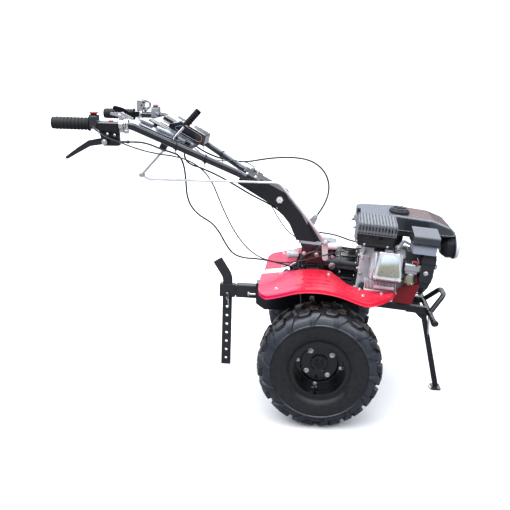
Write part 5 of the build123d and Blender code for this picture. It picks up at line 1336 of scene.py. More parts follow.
class TRACTOR_OT_fenders(TractorStep, bpy.types.Operator):
    """Pressed fenders with raised loops, a turned-down skirt and a rolled edge, and their bolts"""

    bl_idname = "tractor.fenders"
    bl_label = "Fenders"

    def sheet(self, label, side):
        """The pressed sheet before it has a thickness, and the vertices of its front, rear and outer rim."""
        deselect()
        bpy.ops.mesh.primitive_grid_add(x_subdivisions=150, y_subdivisions=84, size=2)
        panel = bpy.context.object
        panel.name = f"fender_panel_{label}"
        rim = set()
        for vertex in panel.data.vertices:
            along, across = (vertex.co.x + 1) / 2, (vertex.co.y + 1) / 2
            if across > 0.999 or not 0.001 < along < 0.999:
                rim.add(vertex.index)
            vertex.co = fender_point(along, across, side)
        return panel, rim

    def roll(self, panel, rim, side):
        """Turns the rim down and out, and gives the sheet its thickness."""
        unselect_mesh(panel)
        uses = Counter(key for polygon in panel.data.polygons for key in polygon.edge_keys)
        for edge in panel.data.edges:
            edge.select = uses[edge.key] == 1 and rim.issuperset(edge.vertices)
        tools = bpy.context.tool_settings
        tools.mesh_select_mode = (False, True, False)
        bpy.ops.object.mode_set(mode="EDIT")
        for out, down in FENDER_LIP:
            bpy.ops.mesh.extrude_region_move(TRANSFORM_OT_translate={"value": (0, side * out, -down)})
        tools.mesh_select_mode = (True, False, False)
        close_up(panel, 0.00001)
        if sum(polygon.normal.z * polygon.area for polygon in panel.data.polygons) < 0:
            panel.data.flip_normals()
        modified(panel, "SOLIDIFY", thickness=0.002, offset=-1)

    def stay(self, label, side):
        out = LEFT * side
        upright = plate("stay", ((-46, 456), (-22, 456), (-22, 540), (-46, 540)), 3, 4,
                        frame_at(from_axle(0, side * 218, 0), FORWARD * -side, out), 0.5)
        if side > 0:
            upright.data.transform(Matrix.Translation((-0.068, 0, 0)))
        arm = pad("stay_arm", 22, 168, 2, 5, frame_at(from_axle(-34, side * 138, 456), FORWARD, UP), 0.5)
        fit_all(f"fender_stay_{label}", (upright, arm), "frame_paint", "black_paint")
        bolt_row(f"stay_bolt_{label}", [frame_at(from_axle(-34, side * 222.4, 470), FORWARD, out)], 7.6, 6.0)

    def execute(self, context):
        for label, side in SIDES:
            panel, rim = self.sheet(label, side)
            self.roll(panel, rim, side)
            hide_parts(f"fender_{label}", "fender_rears")
            fit(panel, "fender_red", "red_paint", angle=40)
            places = []
            for x, y in FENDER_BOLTS:
                point, normal = onto(panel, from_axle(x, side * y, 700), -UP)
                places.append(frame_at(point, FORWARD, normal))
            bolt_row(f"fender_bolts_{label}", places, 5.2, 4.0)
            self.stay(label, side)
        return {"FINISHED"}


# ---- muffler and its guard
GUARD_NEAR, GUARD_FAR, GUARD_REAR, GUARD_FRONT = -212, -90, 81, 228


class TRACTOR_OT_exhaust(TractorStep, bpy.types.Operator):
    """Perforated guard over the muffler, the muffler's louvres, outlet and screws"""

    bl_idname = "tractor.exhaust"
    bl_label = "Exhaust"

    def perforated(self, name, columns, rows, place, thin):
        """A sheet with a hole in each cell wider than thin, laid by place(column share, row)."""
        deselect()
        bpy.ops.mesh.primitive_grid_add(x_subdivisions=columns, y_subdivisions=len(rows) - 1, size=2)
        sheet = bpy.context.object
        sheet.name = name
        for vertex in sheet.data.vertices:
            row = round((vertex.co.y + 1) / 2 * (len(rows) - 1))
            vertex.co = place((vertex.co.x + 1) / 2, rows[row])
        unselect_mesh(sheet)
        corners = [vertex.co for vertex in sheet.data.vertices]
        for polygon in sheet.data.polygons:
            polygon.select = min((corners[a] - corners[b]).length for a, b in polygon.edge_keys) > thin
        bpy.ops.object.mode_set(mode="EDIT")
        bpy.ops.mesh.inset(thickness=0.0024, use_individual=True)
        bpy.ops.mesh.delete(type="FACE")
        bpy.ops.object.mode_set(mode="OBJECT")
        return sheet

    def over(self, column, spot):
        """A point of the guard's roof."""
        return in_body(GUARD_REAR + (GUARD_FRONT - GUARD_REAR) * column, *spot)

    def upright(self, u, foot):
        """Places the points of the guard's end at u, down to its foot."""
        def place(column, row):
            roof = 547 + (565 - 547) * column - (4 if column in (0.0, 1.0) else 0)
            return in_body(u, GUARD_NEAR + (GUARD_FAR - GUARD_NEAR) * column, foot + (roof - foot) * row)
        return place

    def guard(self):
        """The guard's roof and its two ends, with their holes."""
        skirt = [(GUARD_NEAR, 503), (GUARD_NEAR, 514), (GUARD_NEAR, 541), (GUARD_NEAR + 2.5, 547)]
        roof = [(-200 + 12.5 * n, 549.5 + 2.08 * n) for n in range(8)]
        section = skirt + roof + [(-100, 565), (-93, 564), (GUARD_FAR, 560), (GUARD_FAR, 520)]
        sheets = [self.perforated("guard_top", 12, section, self.over, 0.009)]
        for u, foot, count in ((GUARD_REAR, 462, 7), (GUARD_FRONT, 503, 4)):
            shares = [n / count for n in range(count + 1)]
            sheets.append(self.perforated("guard_end", 9, shares, self.upright(u, foot), 0.004))
        guard = joined("muffler_grille", sheets)
        close_up(guard, 0.0004)
        modified(guard, "SOLIDIFY", thickness=0.0016, offset=-1)
        modified(guard, "SUBSURF", levels=2, render_levels=2)
        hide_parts("muffler_guard")
        fit(guard, "guard_paint", "guard_steel", angle=60)

    def execute(self, context):
        self.guard()
        face = []
        for w in range(472, 507, 7):
            face.append(pad("louvre", 34, 2.6, 1.2, 2.4, on_body_side(120, -205.5, w), 0.7, 0.5))
        face.append(pad("seam", 132, 2.2, 1.0, 1.6, on_body_side(154.5, -205.6, 509), 0.5))
        face.append(lathe("outlet", (
            (9.5, -7), (10.5, -7), (14, 0.4), (14, 1.8), (12.4, 2.6), (9.8, 2.6), (9.0, 1.0), (9.0, -6.5),
        ), on_body_side(171, -206, 492), 32))
        face.append(pad("foot", 118, 9, 2, 2.0, on_body_side(156, -205.6, 463), 0.6))
        fit_all("muffler_face", face, "heat_paint", "guard_steel")
        bolt_row("muffler_screws", [on_body_side(u, -207.4, 464) for u in (112, 200)], 3.0, 2.6)
        return {"FINISHED"}


# ---- engine
COVER_CORNERS = ((-46, -48), (46, -48), (-33, 46), (33, 46))
# ahead of the axle and left of the middle: the air cleaner, the float bowl, the fuel filler
CLEANER, BOWL, FILLER = (335, -202), (304, -196), (249, -28)
CASE_BOLTS = ((-78, 250), (-78, 330), (78, 250), (78, 330), (-78, 386), (60, 400))


class TRACTOR_OT_engine_fittings(TractorStep, bpy.types.Operator):
    """Cover plate, gasket, bolts, plug and lead, carburettor linkage, oil filler and tank seam"""

    bl_idname = "tractor.engine_fittings"
    bl_label = "Engine fittings"

    def cover(self):
        outline = (-44, -41), (42, -41), (30, 34), (12, 41), (-20, 41), (-33, 32)
        label = plate("cover_plate", outline, 9, 2.4, on_head(2, 2, 242.6), 0.9, 1.6)
        fit(label, "cover_plate_metal", "cover_metal")
        boss = (0, -26), (9.5, -26), (8.6, 0), (7.6, 1.6), (0, 1.6)
        bosses = [lathe("cover_boss", boss, on_head(x, y, 233), 24) for x, y in COVER_CORNERS]
        bosses.append(pad("cover_rib", 8, 98, 3, 5, on_head(-49, -2, 214), 1.2))
        fit_all("cover_bosses", bosses, "cover_alloy", "cover_metal")
        bolt_row("cover_bolts", [on_head(x, y, 234.4) for x, y in COVER_CORNERS], 5.0, 5.0)
        outline = (-58, -57), (58, -57), (43, 57), (-43, 57)
        fit(plate("cover_gasket", outline, 15, 1.8, on_head(0, 0, 205.0), 0.3), "gasket_red", "cover_metal")

    def block(self):
        parts = [pad("case_rib", 3.4, 52, 1.5, 6, on_body_side(u, -87.5, 262), 1.0) for u in (128, 142, 156)]
        outline = (118, 228), (160, 228), (160, 392), (118, 392)
        parts.append(plate("case_flange", outline, 10, 5, on_body_side(0, -87, 0), 1.5, 2))
        boss = (0, -8), (9, -8), (9, 1), (7.8, 2), (0, 2)
        parts += [lathe("case_boss", boss, facing(116, y, w, -BODY_FORWARD), 20) for y, w in CASE_BOLTS]
        for n in range(22):
            place = on_side(170 + 5.6 * n, -172, 524 - 0.35 * n)
            parts.append(pad("fin", 2.4, 44 - 12 * (n / 21), 1.1, 26, place, 0.6))
        parts.append(pad("fin_strip", 78, 13, 2, 4, spun(on_side(243, -199, 516), -5.73), 0.8))
        parts.append(pad("fin_tray", 128, 6, 2, 30, spun(on_side(230, -170, 499), -6.016), 1.2))
        fit_all("crankcase_details", parts, "block_alloy", "cast_alloy")
        outline = (286, 434), (308, 496), (392, 514), (364, 426)
        fit(plate("lower_shroud", outline, 6, 3, on_side(0, -130, 0)), "shroud_red", "red_paint")
        places = [facing(113.8, y, w, -BODY_FORWARD) for y, w in CASE_BOLTS]
        places += [on_body_side(126, -92.5, w) for w in (246, 312, 378)] + [on_body_side(152, -92.5, 387)]
        bolt_row("crankcase_bolts", places, 5.0, 4.4)
        lean = RIGHT * 0.92 + BODY_UP * 0.38
        filler = lathe("oil_filler", (
            (0, -2), (13, -2), (13, 6), (11, 8), (11, 12), (15, 12.5), (15.6, 20), (14, 22), (7, 22.4),
            (6, 26), (0, 26.4),
        ), frame_at(in_body(140, -88, 258), BODY_FORWARD, lean), 24)
        fit(filler, *PLASTIC)

    def ignition(self):
        lead = rod_along("plug_boot", [on_head(*spot).translation for spot in (
            (30, 40, 184), (27, 47, 202), (22, 56, 216), (14, 66, 222), (2, 72, 214), (-8, 74, 196),
            (-12, 74, 160),
        )], 0.0036)
        tip = frame_at(on_head(30, 38, 186).translation, BODY_FORWARD, HEAD_OUT * 0.8 + HEAD_UP * 0.6)
        cap = (0, -6), (8.5, -6), (9.5, 4), (8.5, 16), (6, 22), (4.4, 30), (0, 30)
        fit_all("plug_lead", (lead, lathe("plug_cap", cap, tip, 20)), *PLASTIC)

    def linkage(self):
        parts = [rod_along(name, [in_body(*spot) for spot in spots], radius * MM) for name, radius, spots in (
            ("governor_rod", 1.1, (
                (262, -150, 452), (270, -166, 456), (286, -184, 444), (300, -214, 428), (303, -222, 414),
            )),
            ("choke_rod", 1.3, ((318, -224, 410), (322, -226, 418), (322, -224, 430), (316, -218, 440))),
            ("return_wire", 0.8, (
                (250, -140, 470), (262, -158, 476), (276, -170, 470), (284, -182, 455), (292, -206, 440),
            )),
        )]
        coil = []
        turns, steps, mean = 12, 8, 3.2
        for step in range(turns * steps + 1):
            share, angle = step / (turns * steps), math.tau * step / steps
            across, up = mean * math.cos(angle), mean * math.sin(angle)
            coil.append(in_body(240 + 44 * share, across - 168 - 18 * share, up + 452 - 6 * share))
        parts.append(rod_along("governor_spring", coil, 0.0006, resolution=2))
        outline = (236, 440), (246, 438), (270, 478), (290, 470), (294, 478), (268, 490), (258, 486)
        parts.append(plate("governor_arm", outline, 3, 2.2, on_body_side(0, -158, 0), 0.5))
        outline = (240, 444), (280, 444), (290, 458), (282, 466), (248, 462), (238, 456)
        parts.append(plate("control_plate", outline, 4, 2.2, on_body_side(0, -142, 0), 0.5))
        fit_all("governor_linkage", parts, *ZINC)
        spots = (248, -144.4, 453), (276, -144.4, 459), (262, -160.4, 482)
        bolt_row("control_bolts", [on_body_side(*spot) for spot in spots], 3.6, 3.4)
        outline = (344, 629), (367, 622), (369, 629), (346, 636)
        fit(plate("fuel_tap", outline, 2.5, 8, on_side(0, -222, 0), 1.2), "gasket_red", "black_plastic")

    def carburettor(self):
        choke = (318, 404), (352, 440), (346, 446), (312, 412)
        idle = (0, -1), (8, -1), (8, 6), (6.6, 8), (0, 8)
        elbow = (322, 592), (377, 592), (381, 640), (372, 670), (322, 670)
        hose = (292, -196, 352), (276, -206, 344), (262, -200, 330), (262, -150, 318), (276, -110, 330)
        fit_all("carburettor_levers", [
            plate("choke_lever", choke, 4, 3, on_body_side(0, -222, 0)),
            lathe("idle_knob", idle, on_body_side(288, -214, 398), 20),
            pad("insulator", 20, 54, 5, 52, on_body_side(284, -166, 392), 1.5),
            plate("intake_elbow", elbow, 8, 46, on_side(0, -170, 0), 3, 2),
            rod_along("fuel_hose", [in_body(*spot) for spot in hose], 0.0034),
        ], *PLASTIC)
        nut = (0, -5), (6.2, -5), (6.8, -3.6), (6.8, 0), (13, 0.6), (13, 2), (0, 2)
        lip = (22, -1), (24.8, -1), (25.6, 0.6), (25.6, 3.4), (24.6, 4.6), (22, 4.6)
        drain = (0, -1), (4.2, -1), (4.2, 5), (3.2, 6), (0, 6)
        fit_all("carburettor_bowl", [
            lathe("bowl_nut", nut, on_body_top(*BOWL, 327), 6),
            lathe("bowl_lip", lip, on_body_top(*BOWL, 368), 40),
            lathe("drain_screw", drain, on_body_side(312, -216, 334), 16),
        ], "cover_alloy", "cast_alloy")

    def intake(self):
        fit_all("cleaner_lips", (
            pad("cleaner_lip", 101, 111, 8, 3.4, on_body_top(*CLEANER, 496.5), 1.0),
            pad("cleaner_groove", 99.4, 109.4, 8, 1.4, on_body_top(*CLEANER, 517), 0.5),
        ), *PLASTIC)
        bolt_row("duct_bolt", [on_body_side(355, -234, 387)], 6.4, 5.0)
        ear = (382, 398), (398, 398), (402, 412), (384, 424)
        foot = (340, 330), (372, 322), (380, 352), (336, 356)
        fit_all("duct_ears", (
            plate("duct_ear", ear, 4, 8, on_body_side(0, -196, 0), 1.0),
            plate("duct_foot", foot, 6, 44, on_body_side(0, -184, 0), 2.0),
        ), *PLASTIC)
        bolt_row("duct_ear_bolt", [on_body_side(394, -204, 406)], 4.4, 4.0)

    def tank(self):
        seam = slab("tank_seam", block_outline(402, 218, 47, 8), 2.6, on_body_top(283, 30, 505.5), 0.9)
        fit(seam, "tank_gloss", "tank_paint")
        neck = (30, -3), (41, -3), (41, -1), (38, 1.6), (30, 1.6)
        fit(lathe("filler_neck", neck, on_body_top(*FILLER, 566), 40), "tank_gloss", "tank_paint")
        skirt = (34, 0), (39.5, 0), (41, 3), (41, 9), (38, 14), (34, 15)
        grip = [lathe("cap_skirt", skirt, on_body_top(*FILLER, 567), 48)]
        top = on_body_top(*FILLER, 587.5)
        grip += [pad("cap_rib", 50, 9, 3, 5, spun(top, 60 * n), 1.4, 1.0) for n in range(3)]
        fit_all("cap_grip", grip, *PLASTIC)
        plug = (0, -8), (6, -8), (6, 0), (7.4, 2), (7.4, 20), (6, 24), (0, 25)
        place = frame_at(from_axle(142, -92, 784), FORWARD, UP)
        fit(lathe("guard_plug", plug, place, 20), *PLASTIC)
        ears = [pad("tank_ear", 22, 30, 4, 3, on_body_top(84, y, 492)) for y in (-60, 90)]
        fit_all("tank_ears", ears, "frame_paint", "tank_paint")
        bolt_row("tank_bolts", [on_body_top(80, y, 495) for y in (-60, 90)], 5.0, 4.2)

    def starter(self):
        face, rim = facing(413, 0, CRANK, BODY_FORWARD), facing(372, 0, CRANK, BODY_FORWARD)
        flat = (26, -4.6), (50, -4.6), (50, 4.6), (26, 4.6)
        ribs = [plate("starter_rib", flat, 3, 2.6, spun(face, 360 * n / 14), 0.9, 1.0) for n in range(14)]
        tooth = (84, -3), (90, -3), (90, 3), (84, 3)
        ribs += [plate("side_rib", tooth, 1, 20, spun(rim, 360 * n / 18 + 5.73), 0.6) for n in range(18)]
        ribs.append(lathe("starter_hub", ((0, -2), (21, -2), (21, 2), (18, 4.4), (0, 4.4)), face, 40))
        fit_all("starter_ribs", ribs, *PLASTIC)
        places = []
        for angle in (0.5, 2.2, 3.9, 5.4):
            places.append(facing(366, 94 * math.cos(angle), CRANK + 94 * math.sin(angle), BODY_FORWARD))
        bolt_row("shroud_bolts", places, 4.4, 3.6)

    def execute(self, context):
        self.cover()
        self.block()
        self.ignition()
        self.linkage()
        self.carburettor()
        self.intake()
        self.tank()
        self.starter()
        return {"FINISHED"}


# ---- headlamp
class TRACTOR_OT_lamp(TractorStep, bpy.types.Operator):
    """Lens, its rim and the housing's cooling ribs"""

    bl_idname = "tractor.lamp"
    bl_label = "Headlamp"

    def execute(self, context):
        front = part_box("headlamp")[1].x
        face = frame_at(Vector((front, 0, from_axle(0, 0, 640).z)), LEFT, FORWARD)
        lens = lathe("lamp_lens", (
            (0, 3.4), (14, 3), (30, 0.8), (42, -2.4), (50, -6), (53.6, -9), (54.2, -12), (54.2, -19),
            (50, -19.6), (45, -15.6), (0, -15.6),
        ), face, 64)
        fit(lens, "lens_glass", "black_plastic")
        rim = (50, -26), (54.6, -26), (55.4, -24.4), (55.4, -20.6), (54.4, -19.0), (50, -19.0)
        rims = [lathe("lamp_rim", rim, face, 64)]
        for back in (33, 42, 51):
            place = face @ Matrix.Translation((0, 0, -back * MM))
            rims.append(lathe("lamp_rib", ((44, -2), (50.6, -2), (51.2, 0), (50.6, 2), (44, 2)), place, 48))
        fit_all("lamp_rims", rims, *PLASTIC)
        return {"FINISHED"}


# ---- gearbox fittings
class TRACTOR_OT_gearbox_fittings(TractorStep, bpy.types.Operator):
    """Flange bolts, plug, boss and cover rims of the gearbox"""

    bl_idname = "tractor.gearbox_fittings"
    bl_label = "Gearbox fittings"

    def wall(self, x, z):
        """A placement on the gearbox's right wall."""
        return frame_at(onto(NODES["gearbox_housing"], from_axle(x, -300, z), -RIGHT)[0], FORWARD, RIGHT)

    def case(self):
        bolt_row("case_bolts", [self.wall(x, z) for x, z in ((-71, 605), (-20, 602))], 6.4, 5.2)
        sleeve = lathe("spindle_sleeve", (
            (0, -2), (11, -2), (14, 0), (14.6, 4), (13.6, 6), (13.6, 26), (14.6, 28), (14.6, 36), (12, 40),
            (6, 41), (5, 50), (0, 50),
        ), frame_at(from_axle(27, -62, 641), UP, FORWARD), 32)
        fit(sleeve, "arm_plate", "zinc_steel")
        place = self.wall(45, 557)
        plug = (0, -3), (15.5, -3), (15.5, 0), (14, 3.4), (12.8, 4), (0, 4)
        fit(lathe("level_plug", plug, spun(place, 20)), "cover_alloy", "zinc_steel")
        # a black pad paints the shade inside the level plug's slot
        slot = pad("plug_slot_shade", 22, 3.4, 0.6, 1.2, spun(place, 40) @ Matrix.Translation((0, 0, 0.0037)), 0.2)
        fit(slot, "tyre_dark", "zinc_steel")
        boss = (0, -2), (8, -2), (8, 4), (6, 6), (6, 10), (7.4, 10.6), (7.4, 14), (5.6, 16), (0, 16)
        fit(lathe("breather", boss, self.wall(45, 596), 24), *ZINC)
        ring = (8.5, -2), (15, -2), (15, 2), (13.6, 3.4), (10, 3.4), (8.5, 2)
        fit(lathe("spindle_ring", ring, self.wall(15, 592), 28), *ZINC)

    def bell(self):
        """Rims and bolts round the clutch housing."""
        rims = []
        for u, r in ((38, 75.5), (110, 79.5)):
            section = (r - 4, -2.2), (r, -2.2), (r + 0.8, 0), (r, 2.2), (r - 4, 2.2)
            rims.append(lathe("bell_rim", section, facing(u, 0, CRANK, BODY_FORWARD), 72))
        fit_all("bell_rims", rims, "case_paint", "black_paint")
        places = []
        for count, first, u, r, out in ((8, 0.5, 108, 71, -BODY_FORWARD), (6, 0.25, 41.5, 69, BODY_FORWARD)):
            for n in range(count):
                angle = math.tau * (n + first) / count
                places.append(facing(u, r * math.cos(angle), CRANK + r * math.sin(angle), out))
        bolt_row("bell_bolts", places, 4.8, 4.2)

    def column_foot(self):
        """The plate under the column, which leans with the machine, and its bolts."""
        fall = 0.105
        square_up = Vector((fall, 0, 1))
        place = frame_at(from_axle(-36, 0, 640.6), Vector((1, 0, -fall)), square_up)
        fit(pad("column_base", 118, 96, 6, 5, place, 0.9), "deck_paint", "silver_paint")
        bolts = []
        for x in (-86, 12):
            for y in (-38, 38):
                bolts.append(frame_at(from_axle(x, y, 645.6 - fall * (x + 36)), FORWARD, square_up))
        bolt_row("base_bolts", bolts, 6.4, 5.4)

    def execute(self, context):
        self.case()
        self.bell()
        self.column_foot()
        return {"FINISHED"}


# ---- handlebars and column
SHIFT_ROD = (
    (-704, -165.5, 940), (-699, -165.5, 934), (-684, -165.5, 924), (-664, -164, 921), (-420, -132, 913),
    (-200, -103.5, 905), (-176, -100.5, 903), (-158, -98, 886), (-140, -95.5, 862), (-70, -84, 772),
    (0, -72, 678), (8, -70, 664), (12, -70, 656),
)


class TRACTOR_OT_handlebar_fittings(TractorStep, bpy.types.Operator):
    """Grip ribs, clamp bolts, pivot washers, cable ties and the shift lever's collar"""

    bl_idname = "tractor.handlebar_fittings"
    bl_label = "Handlebar fittings"

    def ties(self):
        """Cable ties round the tubes."""
        ties = []
        for x, y, z, reach in ((-460, -147.5, 1003, 18.2), (-560, -207, 1058, 18.2), (-520, 183, 1036, 18.4),
                               (-430, 128.5, 986, 18.0)):
            along = Vector((-371, math.copysign(222.4, y), 203.5)).normalized()
            middle = from_axle(x, y, z)
            section = (15.2, -2.2), (reach - 2, -2.2), (reach - 2, 2.2), (15.2, 2.2)
            ties.append(lathe("tie", section, frame_at(middle, UP, along), 28))
            ties.append(pad("tie_head", 6, 7, 1, 6, frame_at(middle - UP * 0.0152, along, -UP), 0.5))
            ties.append(pad("tie_tail", 3.4, 1.4, 0.4, 15, frame_at(middle - UP * 0.020, along, -UP), 0.2))
        fit_all("cable_ties", ties, *PLASTIC)

    def pivot(self):
        """Faces of the pivot bolt, the selector rod, the breather and the clamps' bolts."""
        ends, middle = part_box("pivot_bolt"), box_middle("pivot_bolt")
        section = (0, -0.6), (11.6, -0.6), (12.2, 0), (12.0, 0.5), (11.0, 0.9), (0, 0.9)
        washers = []
        for side, end in zip((-1, 1), ends):
            place = frame_at(Vector((middle.x, end.y, middle.z)), FORWARD, LEFT * side)
            washers.append(lathe("pivot_face", section, place, 40))
        fit_all("pivot_washers", washers, "arm_plate", "zinc_steel")
        spots = (4, -84, 660), (-6, -90, 648), (-38, -94, 609), (-80, -92, 547), (-96, -90, 520)
        rod = rod_along("selector_rod", [from_axle(*spot) for spot in spots], 0.0018, straight=True)
        fit(rod, "frame_paint", "black_paint")
        cap = lathe("breather", (
            (0, -6), (18, -6), (18, 30), (20.5, 31), (20.5, 41), (19, 42.5), (9, 42.5), (8, 46), (0, 46),
        ), frame_at(from_axle(-100, 8, 587), UP, -FORWARD), 32)
        fit(cap, "arm_plate", "cast_alloy")
        low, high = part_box("tube_clamps")
        places = []
        for share in (0.25, 0.72):
            for side in (-1, 1):
                above = Vector((low.x + (high.x - low.x) * share, side * 0.072, high.z + 0.1))
                point, normal = onto(NODES["tube_clamps"], above, -UP)
                places.append(frame_at(point, FORWARD, normal))
        bolt_row("clamp_bolts", places, 5.4, 4.6)

    def grips(self):
        """Flange, ribs and closed end of each grip."""
        flange = (14.2, 0), (25.4, 0), (26.2, 1.6), (25.4, 3.4), (14.2, 3.4)
        cap = (0, 0), (21.8, 0), (21.2, 2.6), (17, 4.4), (0, 4.8)
        rib = (20.6, -4.2), (22.0, -3.6), (22.6, -2.2), (22.6, 2.2), (22.0, 3.6), (20.6, 4.2)
        for label, side in SIDES:
            along = Vector((-282, side * 8, 8)).normalized()
            end = from_axle(-989, side * 303, 1146)
            rings = [
                lathe("grip_flange", flange, frame_at(end - along * 0.1355, UP, along), 40),
                lathe("grip_end", cap, frame_at(end, UP, along), 40),
            ]
            for n in range(9):
                middle = end - along * (14 + n * 13.2) * MM
                rings.append(lathe("grip_rib", rib, frame_at(middle, UP, along), 40))
            fit_all(f"grip_ribs_{label}", rings, "grip_ribbed", "grip_rubber", angle=50)

    def shift_rod(self):
        """The long bent rod from the shift lever to the gearbox, with its eyes and nuts."""
        route = [from_axle(*spot) for spot in SHIFT_ROD]
        ends = route[0], route[-1]
        eye = (4.4, -4.5), (9.4, -4.5), (10, -3.6), (10, 3.6), (9.4, 4.5), (4.4, 4.5), (4.4, -4.5)
        eyes = [lathe("rod_eye", eye, frame_at(end, FORWARD, RIGHT), 28) for end in ends]
        rod = joined("shift_linkage", [rod_along("rod", route, 0.0046)] + eyes)
        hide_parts("shift_rod")
        fit(rod, "rod_plate", "zinc_steel")
        bolt_row("rod_nuts", [frame_at(end + RIGHT * 0.0062, FORWARD, RIGHT) for end in ends], 5.6, 4.6)

    def knob(self):
        """Ribs and collar of the shift lever's knob."""
        foot, tip = from_axle(-704, -180, 940), from_axle(-472, -180, 1186)
        along = (tip - foot).normalized()
        rib = (11.0, -2.6), (12.5, -2.2), (13.0, 0), (12.5, 2.2), (11.0, 2.6)
        collar = (4.6, -2), (8, -1.6), (12.4, 2), (12.6, 6), (4.6, 6)
        ribs = []
        for n in range(7):
            ribs.append(lathe("knob_rib", rib, frame_at(tip - along * (0.012 + 0.0094 * n), UP, along), 28))
        ribs.append(lathe("knob_collar", collar, frame_at(tip - along * 0.083, UP, along), 28))
        fit_all("knob_ribs", ribs, "grip_ribbed", "lever_steel", angle=40)

    def execute(self, context):
        self.ties()
        self.pivot()
        self.grips()
        self.shift_rod()
        self.knob()
        return {"FINISHED"}


# ---- deck between the handles
# ribs of the deck: (right of the middle, start and end back along the tubes, width)
RIGHT_RIBS = (
    (168, 214, 322, 13), (150, 226, 392, 8), (133, 214, 400, 9), (116, 226, 400, 6), (101, 214, 396, 8),
)
LEFT_RIBS = ((-96, 214, 396, 10), (-118, 224, 396, 10), (-142, 236, 396, 10))


class TRACTOR_OT_deck(TractorStep, bpy.types.Operator):
    """Raised ribs, wings and dark recesses of the control deck and console"""

    bl_idname = "tractor.deck"
    bl_label = "Control deck"

    def ribs(self):
        ribs = []
        for right, start, end, wide in RIGHT_RIBS:
            middle, long = (start + end) / 2, end - start
            shift = min(0, (middle - 300) * 0.12 - 4)
            place = on_handles(middle, right + shift, 18.2) @ Matrix.Rotation(0.07, 4, "Z")
            ribs.append(pad("deck_rib", long, wide, wide / 2 - 0.3, 9, place, 2.2, 1.4))
        for right, start, end, wide in LEFT_RIBS:
            middle, long = (start + end) / 2, end - start
            place = on_handles(middle, right, 18.2) @ Matrix.Rotation(-0.06, 4, "Z")
            ribs.append(pad("deck_rib", long, wide, 4.6, 8, place, 2.0, 1.4))
        fit_all("deck_ribs", ribs, "deck_black", "silver_paint")

    def wings(self):
        wings = []
        for along, right, long in ((236, 148, 72), (318, 178, 74), (392, 200, 58)):
            place = on_handles(along, right, 15.4) @ Matrix.Rotation(0.5, 4, "Z")
            wings.append(slab("deck_wing", block_outline(long, 30, 13, 6), 11, place, 3.6, 2.2))
        fit_all("deck_wings", wings, "wing_moulding", "silver_paint")

    def recesses(self):
        recesses, rims = [], []
        for along, right, up, long, wide in ((226, -22, 62, 62, 70), (300, -24, 62.6, 66, 62)):
            place = on_handles(along, right, up) @ Matrix.Rotation(-0.02, 4, "Y")
            x, y = long / 2, wide / 2
            taper = round_corners(((-x, -y), (x, 8 - y), (x - 6, y), (-x, y - 4)), 9)
            recesses.append(slab("recess", taper, 1.8, place, 0.6))
            rims.append(slab("recess_rim", [(x * 1.1, y * 1.1) for x, y in taper], 1.2, place, 0.5))
        fit_all("console_recesses", recesses, "mouldings", "console_plastic")
        fit_all("console_rims", rims, "deck_paint", "console_plastic")

    def side_highlight(self):
        """A painted highlight, a bright line round the console's side: (back along the tubes, above them)."""
        outline = (192, 24), (200, 50), (214, 53), (282, 56), (314, 34), (308, 24), (250, 24)
        loop = [on_handles(along, 40.6, up).translation for along, up in outline]
        # a pale rod along the console's side edge is a painted highlight
        rim = rod_along("console_side_highlight", loop, 0.0011, closed=True)
        fit(rim, "wing_moulding", "console_plastic")

    def execute(self, context):
        self.ribs()
        self.wings()
        self.recesses()
        self.side_highlight()
        return {"FINISHED"}


# ---- hand controls
class TRACTOR_OT_controls(TractorStep, bpy.types.Operator):
    """Switch buttons, clamp screws, lever pivots and the tube's strap"""

    bl_idname = "tractor.controls"
    bl_label = "Hand controls"

    def switches(self):
        """A red button with a moulded bead round its foot, on top of each switch."""
        for name, cap, bead in (("stop", (26, 20), (34, 27)), ("lamp", (24, 18), (31, 25))):
            top = box_middle(f"{name}_switch")
            top.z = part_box(f"{name}_switch")[1].z
            button = pad(f"{name}_button", *cap, 5, 5, frame_at(top - UP * 0.001, FORWARD, UP), 1.8, 1.5)
            fit(button, "button_red", "black_plastic")
            edge = pad(f"{name}_bead", *bead, 6, 2, frame_at(top - UP * 0.0006, FORWARD, UP), 0.7)
            fit(edge, f"{name}_switch_moulding", "black_plastic")

    def strap(self):
        """The strap that holds the clutch lever's bracket to its tube, with its ear and screw."""
        section = (14.3, -3.2), (16.6, -3.2), (16.6, 3.2), (14.3, 3.2)
        along = Vector((-282, -8, 8)).normalized()
        parts = []
        for x, y in ((-722, -299.5), (-714, -296)):
            parts.append(lathe("strap", section, frame_at(from_axle(x, y, 1142), UP, along), 36))
        ear = (-9, -16), (9, -16), (8, 6), (-8, 6)
        parts.append(plate("strap_ear", ear, 4, 5, on_side(-718, -300, 1124), 0.9))
        fit_all("tube_strap", parts, *ZINC)
        bolt_row("strap_screw", [on_side(-718, -305.4, 1116)], 4.2, 4.0)

    def execute(self, context):
        self.switches()
        bolt_row("lever_pivot", [on_side(-797, -321, 1079)], 7.4, 5.0)
        bolt_row("bracket_screws", [on_side(-783, -323, 1108), on_side(-757, -321, 1104)], 3.4, 3.0)
        place = frame_at(from_axle(-774, -301.5, 1153.6), FORWARD, Vector((0, -0.25, 0.97)))
        fit(pad("tube_mark", 17, 11, 2, 1.4, place, 0.4), "button_red", "black_plastic")
        self.strap()
        spots = (-797, 1196), (-797, 1170), (-806, 1184), (-790, 1160)
        bolt_row("arch_screws", [on_side(x, 252, z) for x, z in spots], 3.0, 2.6, "tyre_dark")
        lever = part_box("throttle_lever")[0].y / MM - 0.4
        bolt_row("throttle_pivot", [on_side(-737, lever, 1172)], 5.4, 5.0)
        return {"FINISHED"}


